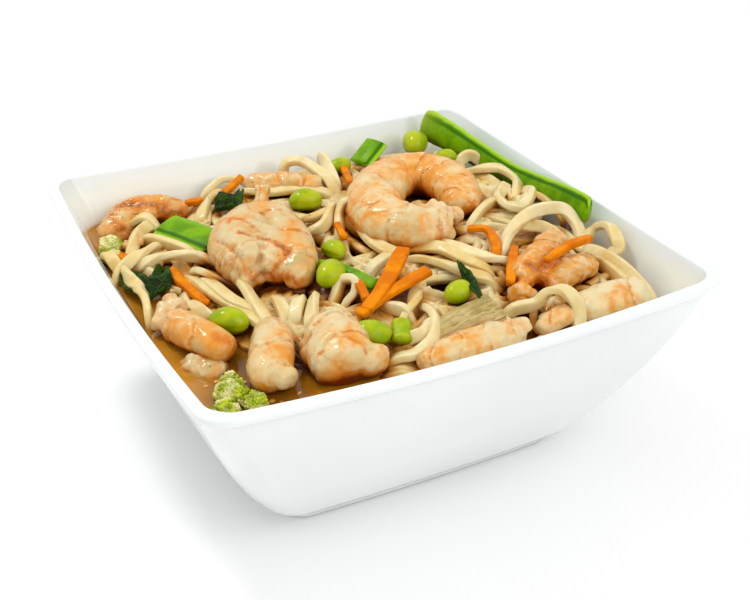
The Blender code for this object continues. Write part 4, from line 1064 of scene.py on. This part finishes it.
def strandTree():  # a flattened, twisting noodle along each curve, with a random tone of its own
    tree, entry = modifierTree("noodleOnCurve", ("Width", "Height", "Corner", "Soft End", "Twist"),
                               ("Corner Steps",))
    wire = Wire(tree)
    number = wire.make("GeometryNodeInputIndex")
    tone = wire.make("FunctionNodeRandomValue", {"ID": number, "Seed": entry["Seed"]}, out=1,
                     data_type="FLOAT")
    toned = wire.make("GeometryNodeStoreNamedAttribute", {"Geometry": entry["Geometry"], "Name": "tone",
                                                          "Value": tone}, data_type="FLOAT", domain="CURVE")
    done = wire.make("GeometryNodeSplineParameter", out="Length")
    whole = wire.make("GeometryNodeSplineLength", out="Length")
    near = wire.math("MINIMUM", done, whole - done) / entry["Soft End"]
    near = wire.math("MINIMUM", near, 1.0)
    bend = wire.math("SQRT", near * (2.0 - near))
    where = wire.make("GeometryNodeInputPosition")
    swell = wire.make("ShaderNodeTexNoise", {"Vector": where, "Scale": 90.0, "Detail": 1.0})
    turn = wire.make("ShaderNodeTexNoise", {"Vector": where, "Scale": 28.0, "Detail": 0.0})
    shaped = wire.make("GeometryNodeSetCurveRadius",
                       {"Curve": toned, "Radius": (0.72 + 0.28 * bend) * (0.86 + 0.28 * swell)})
    shaped = wire.make("GeometryNodeSetCurveTilt", {"Curve": shaped, "Tilt": (turn - 0.5) * entry["Twist"]})
    ring = wire.make("GeometryNodeCurvePrimitiveQuadrilateral",
                     {"Width": entry["Width"], "Height": entry["Height"]})
    sockets = {"Curve": ring, "Count": entry["Corner Steps"], "Radius": entry["Corner"], "Limit Radius": True}
    ring = wire.make("GeometryNodeFilletCurve", sockets, mode="POLY")
    tube = wire.make("GeometryNodeCurveToMesh", {"Curve": shaped, "Profile Curve": ring, "Fill Caps": True})
    tube = wire.make("GeometryNodeSetShadeSmooth", {0: tube})
    endTree(tree, tube, entry["Coat"])
    return tree


# Broccoli: middle and radius of each tuft

broccoli = {
    "florets": (
        (((-70, -55, 57.5), 5.6), ((-74, -61, 56.5), 4.6), ((-65, -61, 56.0), 4.6), ((-68, -49, 58.5), 3.4)),
        (((-76, 51, 60.5), 4.4), ((-77, 45, 58.5), 3.8)),
    ),
    "bud": 0.62, "density": 2.5e6, "seed": 4,
}


def makeBroccoli(index, tufts, tree):
    lumps = []
    for number, (place, radius) in enumerate(tufts):
        bm = bmesh.new()
        bmesh.ops.create_icosphere(bm, subdivisions=4, radius=radius - broccoli["bud"])
        for vert in bm.verts:
            seed = Vector((number, index, 0))
            lump = 0.2 * noise.noise(vert.co * 0.6 + seed) + 0.08 * noise.noise(vert.co * 1.9 + seed)
            vert.co = (vert.co * (1.0 + lump) + Vector(place)) * mm
        mesh = bpy.data.meshes.new("tuft")
        bm.to_mesh(mesh)
        bm.free()
        mesh.shade_smooth()
        mesh.materials.append(finish["broccoli"])
        lumps.append(linked("tuft", mesh))
    piece = joined(f"broccoliFloret{index + 1}", lumps)
    piece = runTree(piece, tree, Density=broccoli["density"], Size=broccoli["bud"] * mm,
                    Seed=broccoli["seed"] + index, Coat=finish["broccoli"])
    return belongs(piece, "broccoli", f"broccoli_{index + 1}")


buds = budTree()
broccoliPieces = [makeBroccoli(index, tufts, buds) for index, tufts in enumerate(broccoli["florets"])]
print("broccoli made")


# Noodles: strands that the eye picks out, then many more laid over each other below them

noodles = {
    "width": 4.7, "height": 2.7, "corner": 0.75, "cornerSteps": 3, "spacing": 1.0, "softEnd": 0.5,
    "twist": 8.0, "rootRun": 3.5, "rootDrop": 4.5,
    "shown": (
        ((-79, 44, 61), (-78, 35, 60), (-77, 26, 60), (-76, 15, 60), (-77, 5, 60), (-78, -2, 58)),
        ((-78, 32, 60), (-73, 36, 61), (-66, 40, 61.5), (-61, 43, 60)),
        ((-64, 63, 62), (-60, 60, 65), (-57, 56, 62)),
        ((-60, 56, 63), (-66, 52, 61.5), (-71, 43, 59)),
        ((-62, 49, 61), (-56, 38, 62), (-52, 31, 61)),
        ((-71, 35, 58), (-64, 32, 62), (-57, 27, 63.5), (-51, 23, 63), (-46, 14, 61)),
        ((-54, 19, 60), (-50, 10, 61.5), (-45, 2, 60)),
        ((-58, 15, 60), (-55, -1, 61.5), (-51, -15, 61.5), (-48, -26, 60)),
        ((-54, 9, 61), (-52, -9, 62.5), (-47, -18, 61)),
        ((-64, 2, 58.5), (-62, -7, 59.5), (-60, -14, 58)),
        ((-45, 0, 63), (-46, -13, 63), (-46, -24, 61)),
        ((-38, -15, 62), (-39, -23, 61)),
        ((-32, -19, 62.5), (-36, -25, 61)),
        ((-28, -22, 63.5), (-33, -31, 61)),
        ((0, 70, 66), (2, 70, 71), (7, 67, 72), (11, 60, 70), (13, 53, 68), (13, 48, 65)),
        ((-19, 63, 65), (-10, 57, 66.5), (1, 53, 67), (10, 47, 65)),
        ((20, 75, 68), (18, 64, 67.5), (15, 52, 66)),
        ((-30, 74, 64), (-23, 76, 66.5), (-15, 74, 65)),
        ((-40, 55, 62), (-34, 64, 64), (-28, 69, 64)),
        ((-12, 30, 66), (-7, 23, 69), (0, 26, 68)),
        ((-13, 19, 65), (-6, 17, 68.5), (2, 27, 69)),
        ((-2, 12, 67), (3, 22, 69), (6, 24, 72), (9, 21, 71), (7, 13, 67)),
        ((4, 19, 67), (4, 5, 67.5), (5, -9, 68.5), (9, -14, 67)),
        ((10, 18, 68), (9, 4, 69), (12, -8, 68)),
        ((14, -11, 67), (22, -18, 69), (26, -28, 68.5), (31, -35, 66)),
        ((21, -9, 67), (27, -19, 68.5), (31, -29, 69), (39, -34, 67)),
        ((12, -18, 67), (18, -27, 68), (23, -37, 67.5), (28, -41, 66)),
        ((-3, -16, 66), (3, -14, 67.5), (8, -12, 67)),
        ((67, 47, 66), (73, 47, 69.5), (78, 44, 66)),
        ((64, 38, 66), (71, 34, 69), (78, 30, 69), (79, 20, 68), (72, 10, 67)),
        ((73, 19, 67), (62, 7, 69), (61, -3, 70), (68, -1, 68), (76, 6, 69), (77, 13, 66)),
        ((43, -4, 67), (54, 3, 69), (63, 7, 67)),
        ((41, -29, 66), (46, -24, 70), (53, -21, 73.5), (63, -17, 74), (73, -18, 73), (76, -23, 69),
         (75, -29, 65)),
        ((53, -15, 68), (58, -18, 69), (63, -21, 69), (66, -26, 67)),
        ((74, 7, 66), (78, 3, 68), (79, -5, 68), (79, -12, 66)),
        ((75, -30, 65), (80, -30, 69), (81, -36, 72), (80, -41, 71), (79, -45, 68), (76, -44, 65)),
        ((71, -39, 66), (72, -50, 67.5), (73, -60, 66), (74, -69, 62)),
        ((69, -46, 65), (70, -54, 65), (70, -62, 63)),
        ((27, -59, 64), (33, -62, 66), (37, -63, 70), (41, -66, 71), (44, -70, 67), (43, -73, 62)),
        ((-18, -61, 59), (-12, -64, 61), (-5, -62, 63), (0, -55, 65), (2, -46, 64)),
        ((-12, -56, 61), (-6, -58, 63.5), (-2, -55, 64)),
        ((-20, -23, 63), (-17, -21, 67), (-14, -25, 68.5), (-15, -27, 65), (-18, -27, 62)),
        ((4, -35, 65), (-2, -43, 65.5), (-8, -48, 63)),
        ((-10, -38, 63), (-7, -45, 65.5), (-6, -47, 63)),
    ),
    "fill": {"seed": 21, "tries": 1100, "most": 260, "choices": 6, "shortest": 34.0, "longest": 85.0,
             "fewest": 8, "step": 1.6, "tightest": 0.11, "waver": 0.035, "turnBack": 0.3, "overEdge": 1.5,
             "startBelow": 9.5, "rise": 0.7, "edge": 3.5, "cornerSteps": 2, "spacing": 1.85},
    "core": {"rows": 40, "sides": 96, "inset": 4.0, "bottom": 20.0, "bottomWidth": 0.6, "sink": 7.0,
             "lumps": 1.2},
}


def strandsPiece(name, paths, tree, cornerSteps, seed):
    curve = bpy.data.curves.new(name, "CURVE")
    curve.dimensions = "3D"
    for path in paths:
        spline = curve.splines.new("POLY")
        spline.points.add(len(path) - 1)
        rows = np.column_stack([np.asarray(path) * mm, np.ones(len(path))])
        spline.points.foreach_set("co", rows.astype(np.float32).ravel())
    inputs = {"Width": noodles["width"] * mm, "Height": noodles["height"] * mm, "Seed": seed,
              "Corner": noodles["corner"] * mm, "Corner Steps": cornerSteps, "Twist": noodles["twist"],
              "Soft End": noodles["softEnd"] * mm, "Coat": finish["noodle"]}
    return runTree(linked(name, curve), tree, **inputs)


def cellOf(x, y):  # the height maps have a cell for each millimetre
    return np.clip(np.round(x + 100).astype(int), 0, 200), np.clip(np.round(y + 100).astype(int), 0, 200)


def undersides(pieces, spread):  # lowest point of the given pieces over each cell
    low = np.full((201, 201), 999.0)
    for piece in pieces:
        points = placesOf(piece)
        np.minimum.at(low, cellOf(points[:, 0], points[:, 1]), points[:, 2])
    for _ in range(spread):
        around = [np.roll(low, step, axis) for axis in (0, 1) for step in (1, -1)]
        low = np.minimum.reduce([low, *around])
    return low


def layStrands():  # strands dropped one by one where the heap is lowest, each over what already lies there
    rule = noodles["fill"]
    draw = random.Random(rule["seed"])
    grid = np.arange(-100.0, 101.0)
    gx, gy = np.meshgrid(grid, grid, indexing="ij")
    target = heapHeight(gx, gy)
    top = target - rule["startBelow"]
    ceiling = np.minimum(target + rule["rise"], undersides(toppings, 2) - 0.5 * noodles["height"])
    radius = 0.5 * noodles["width"]
    disc = [(i, j) for i in range(-3, 4) for j in range(-3, 4) if i * i + j * j <= 2.6**2]
    paths = []
    for _ in range(rule["tries"]):
        if len(paths) >= rule["most"]:
            break
        best = None
        for _ in range(rule["choices"]):
            angle = draw.uniform(0.0, math.tau)
            share = math.sqrt(draw.uniform(0.0, 1.0))
            reach = float(heapReach(angle)) - rule["edge"]
            start = (reach * share * math.cos(angle), reach * share * math.sin(angle))
            i, j = cellOf(np.array(start[0]), np.array(start[1]))
            lack = target[i, j] - top[i, j]
            if best is None or lack > best[0]:
                best = (lack, start)
        x, y = best[1]
        heading = draw.uniform(0.0, math.tau)
        bend = draw.uniform(-1.0, 1.0) * rule["tightest"]
        length = draw.uniform(rule["shortest"], rule["longest"])
        plan = []
        for _ in range(int(length / rule["step"])):
            plan.append((x, y))
            bend += draw.uniform(-rule["waver"], rule["waver"])
            bend = max(-rule["tightest"], min(rule["tightest"], bend))
            heading += bend * rule["step"]
            nextX = x + rule["step"] * math.cos(heading)
            nextY = y + rule["step"] * math.sin(heading)
            limit = float(heapReach(math.atan2(nextY, nextX))) - rule["edge"]
            if math.hypot(nextX, nextY) > limit:  # turn back towards the middle
                inward = math.atan2(-y, -x)
                swing = (inward - heading + math.pi) % math.tau - math.pi
                heading += max(-rule["turnBack"], min(rule["turnBack"], swing))
                nextX = x + rule["step"] * math.cos(heading)
                nextY = y + rule["step"] * math.sin(heading)
                if math.hypot(nextX, nextY) > limit + rule["overEdge"]:
                    break
            x, y = nextX, nextY
        if len(plan) < rule["fewest"]:
            continue
        plan = np.array(plan)
        under = np.full(len(plan), -99.0)
        roof = np.full(len(plan), 999.0)
        for di, dj in disc:
            i, j = cellOf(plan[:, 0] + di, plan[:, 1] + dj)
            under = np.maximum(under, top[i, j])
            roof = np.minimum(roof, ceiling[i, j])
        height = under + 0.45 * noodles["height"]
        rest = height.copy()
        for _ in range(14):
            soft = np.convolve(np.pad(rest, 2, mode="edge"), np.ones(5) / 5.0, mode="valid")
            rest = np.maximum(height, soft)
        rest = np.minimum(rest, roof)
        for _ in range(3):
            rest = np.convolve(np.pad(rest, 1, mode="edge"), (0.25, 0.5, 0.25), mode="valid")
        i, j = cellOf(plan[:, 0], plan[:, 1])
        if np.mean(rest - target[i, j]) > rule["rise"] - 0.1:
            continue
        for di, dj in disc:
            i, j = cellOf(plan[:, 0] + di, plan[:, 1] + dj)
            crown = rest + 0.8 * math.sqrt(max(0.0, radius**2 - 0.8 * (di * di + dj * dj)))
            np.maximum.at(top, (i, j), crown)
        paths.append(np.column_stack([plan, rest]))
    return paths


def makeCore():
    rule = noodles["core"]
    sides = rule["sides"]
    angle = np.linspace(0.0, math.tau, sides, endpoint=False)
    reach = heapReach(angle) - rule["inset"]
    low = rule["bottomWidth"] * reach
    rings = [np.column_stack([low * np.cos(angle), low * np.sin(angle), np.full(sides, rule["bottom"])])]
    for share in 1.0 - np.linspace(0.0, 1.0, rule["rows"])[:-1] ** 1.3:
        x, y = share * reach * np.cos(angle), share * reach * np.sin(angle)
        ring = np.column_stack([x, y, heapHeight(x, y) - rule["sink"]])
        ring[:, 2] += rule["lumps"] * roughness(ring, 5.0, 1)
        rings.append(ring)
    middles = [(0.0, 0.0, rule["bottom"]), (0.0, 0.0, float(heapHeight(0.0, 0.0)) - rule["sink"])]
    faces, uv = tubeFaces(len(rings), sides)
    piece = meshPiece("heapCore", np.vstack([*rings, middles]), faces, finish["core"], uv)
    return belongs(piece, "noodle", "noodles")


def rooted(path):  # both ends go down into the heap
    path = [np.array(point, float) for point in path]
    ends = []
    for tip, before in ((path[0], path[1]), (path[-1], path[-2])):
        away = tip - before
        away[2] = 0.0
        away *= noodles["rootRun"] / max(float(np.linalg.norm(away)), 1e-6)
        ends.append(tip + away - (0.0, 0.0, noodles["rootDrop"]))
    return [ends[0], *path, ends[1]]


toppings = [*prawnPieces, *beanPieces, *podPieces, *carrotPieces, *stalkPieces, *leafPieces, *broccoliPieces]
strands = strandTree()
makeCore()
shownPaths = [smoothPath(rooted(path), noodles["spacing"]) for path in noodles["shown"]]
shownPiece = strandsPiece("noodlesShown", shownPaths, strands, noodles["cornerSteps"], 3)
belongs(shownPiece, "noodle", "noodles")
fillPaths = [smoothPath(path, noodles["fill"]["spacing"]) for path in layStrands()]
fillPiece = strandsPiece("noodlesBelow", fillPaths, strands, noodles["fill"]["cornerSteps"], 8)
belongs(fillPiece, "noodle", "noodles")
print(f"noodles made: {len(shownPaths)} shown, {len(fillPaths)} below")


# How far each point lies below the food around it, for the painted shade and the broth's brown in the gaps

def markSunk(pieces, reach=5, most=12.0):
    surface = np.full((201, 201), heap["broth"])
    for piece in pieces:
        points = placesOf(piece)
        np.maximum.at(surface, cellOf(points[:, 0], points[:, 1]), points[:, 2])
    kernel = np.ones(2 * reach + 1) / (2 * reach + 1)

    def averaged(row):
        return np.convolve(np.pad(row, reach, mode="edge"), kernel, "valid")

    for axis in (0, 1):
        surface = np.apply_along_axis(averaged, axis, surface)
    for piece in pieces:
        points = placesOf(piece)
        u, v = np.clip(points[:, 0] + 100.0, 0.0, 199.0), np.clip(points[:, 1] + 100.0, 0.0, 199.0)
        i, j = u.astype(int), v.astype(int)
        u, v = u - i, v - j
        level = ((1 - u) * (1 - v) * surface[i, j] + u * (1 - v) * surface[i + 1, j]
                 + (1 - u) * v * surface[i, j + 1] + u * v * surface[i + 1, j + 1])
        marked(piece.data, {"sunk": np.clip(level - points[:, 2], 0.0, most)})


markSunk([*toppings, shownPiece, fillPiece])


# Pepper on the food and drops of oil on the broth

bits = {
    "pepper": {"piece": "pepperSpecks", "coat": "speck", "count": 150, "size": 0.26, "flatness": 0.6,
               "seed": 5, "detail": 1, "spread": 76, "above": 56.2},
    "oil": {"piece": "oilDrops", "coat": "drop", "count": 46, "size": 1.1, "flatness": 0.18, "seed": 6,
            "detail": 3, "spread": 78, "below": 55.5, "level": 55.9, "overlap": 2.0},
    "rayFrom": 95,
}


def surfaceOf(pieces):
    bm = bmesh.new()
    for piece in pieces:
        bm.from_mesh(piece.data)
    tree = BVHTree.FromBMesh(bm)
    bm.free()
    return tree


def onFood(x, y, hit):
    return hit if hit and hit.z > bits["pepper"]["above"] * mm else None


def onBroth(x, y, hit):
    rule = bits["oil"]
    outside = math.hypot(x, y) > float(heapReach(math.atan2(y, x))) - rule["overlap"]
    clear = not hit or hit.z < rule["below"] * mm
    return Vector((x, y, rule["level"])) * mm if outside and clear else None


def scatter(rule, placeFor, food, tree):  # bits at random places, wherever placeFor finds one
    draw = random.Random(rule["seed"])
    places = []
    while len(places) < rule["count"]:
        x, y = [draw.uniform(-rule["spread"], rule["spread"]) for _ in range(2)]
        hit = food.ray_cast(Vector((x, y, bits["rayFrom"])) * mm, Vector((0, 0, -1)))[0]
        place = placeFor(x, y, hit)
        if place is not None:
            places.append(tuple(place))
    mesh = bpy.data.meshes.new(rule["piece"])
    mesh.from_pydata(places, [], [])
    piece = runTree(linked(rule["piece"], mesh), tree, Size=rule["size"] * mm, Flatness=rule["flatness"],
                    Detail=rule["detail"], Seed=rule["seed"], Coat=finish[rule["coat"]])
    belongs(piece, "broth")


foodSurface = surfaceOf([*toppings, shownPiece, fillPiece])
grains = bitTree()
scatter(bits["pepper"], onFood, foodSurface, grains)
scatter(bits["oil"], onBroth, foodSurface, grains)
print("pepper and oil made")


# Floor, light and camera

studio = {
    "floor": "fbfbfb", "floorShade": "f4f4f3", "floorSize": 6.0, "floorHeight": -0.0002,
    "worldWhite": (1.0, 1.0, 1.0), "worldStrength": 0.88,
    "lights": (
        {"place": (0.3, -0.8, 0.85), "size": 0.8, "watts": 4.2, "aim": (0.0, 0.0, 0.0)},
        {"place": (-0.2, 0.42, 0.75), "size": 0.14, "watts": 2.2, "aim": (0.0, 0.0, 0.06)},
    ),
    "camera": {"place": (-0.1650, -0.3364, 0.2591), "turn": (60.18, 0.0, -26.96), "lens": 57.02},
}


def makeStudio():
    bpy.ops.mesh.primitive_plane_add(size=studio["floorSize"], location=(0.0, 0.0, studio["floorHeight"]))
    floor = bpy.context.object
    floor.name = "floor"
    material, wire, shader = newMaterial("paleFloor", Roughness=0.6)
    paint(wire, shader, wire.clouds(3.0).blend(studio["floor"], studio["floorShade"]))
    floor.data.materials.append(material)
    world = bpy.data.worlds.new("paleStudio")
    world.use_nodes = True
    background = world.node_tree.nodes["Background"]
    background.inputs["Color"].default_value = (*studio["worldWhite"], 1.0)
    background.inputs["Strength"].default_value = studio["worldStrength"]
    bpy.context.scene.world = world
    for number, lamp in enumerate(studio["lights"]):
        light = bpy.data.lights.new(f"softLight{number + 1}", "AREA")
        light.size = lamp["size"]
        light.energy = lamp["watts"]
        holder = linked(light.name, light)
        holder.location = lamp["place"]
        aim = Vector(lamp["aim"]) - Vector(lamp["place"])
        holder.rotation_euler = aim.to_track_quat("-Z", "Y").to_euler()
    view = studio["camera"]
    camera = linked("camera", bpy.data.cameras.new("camera"))
    camera.location = view["place"]
    camera.rotation_euler = [math.radians(a) for a in view["turn"]]
    camera.data.lens = view["lens"]
    bpy.context.scene.camera = camera
    bpy.context.scene.view_settings.view_transform = "Standard"


makeStudio()
print("studio made")
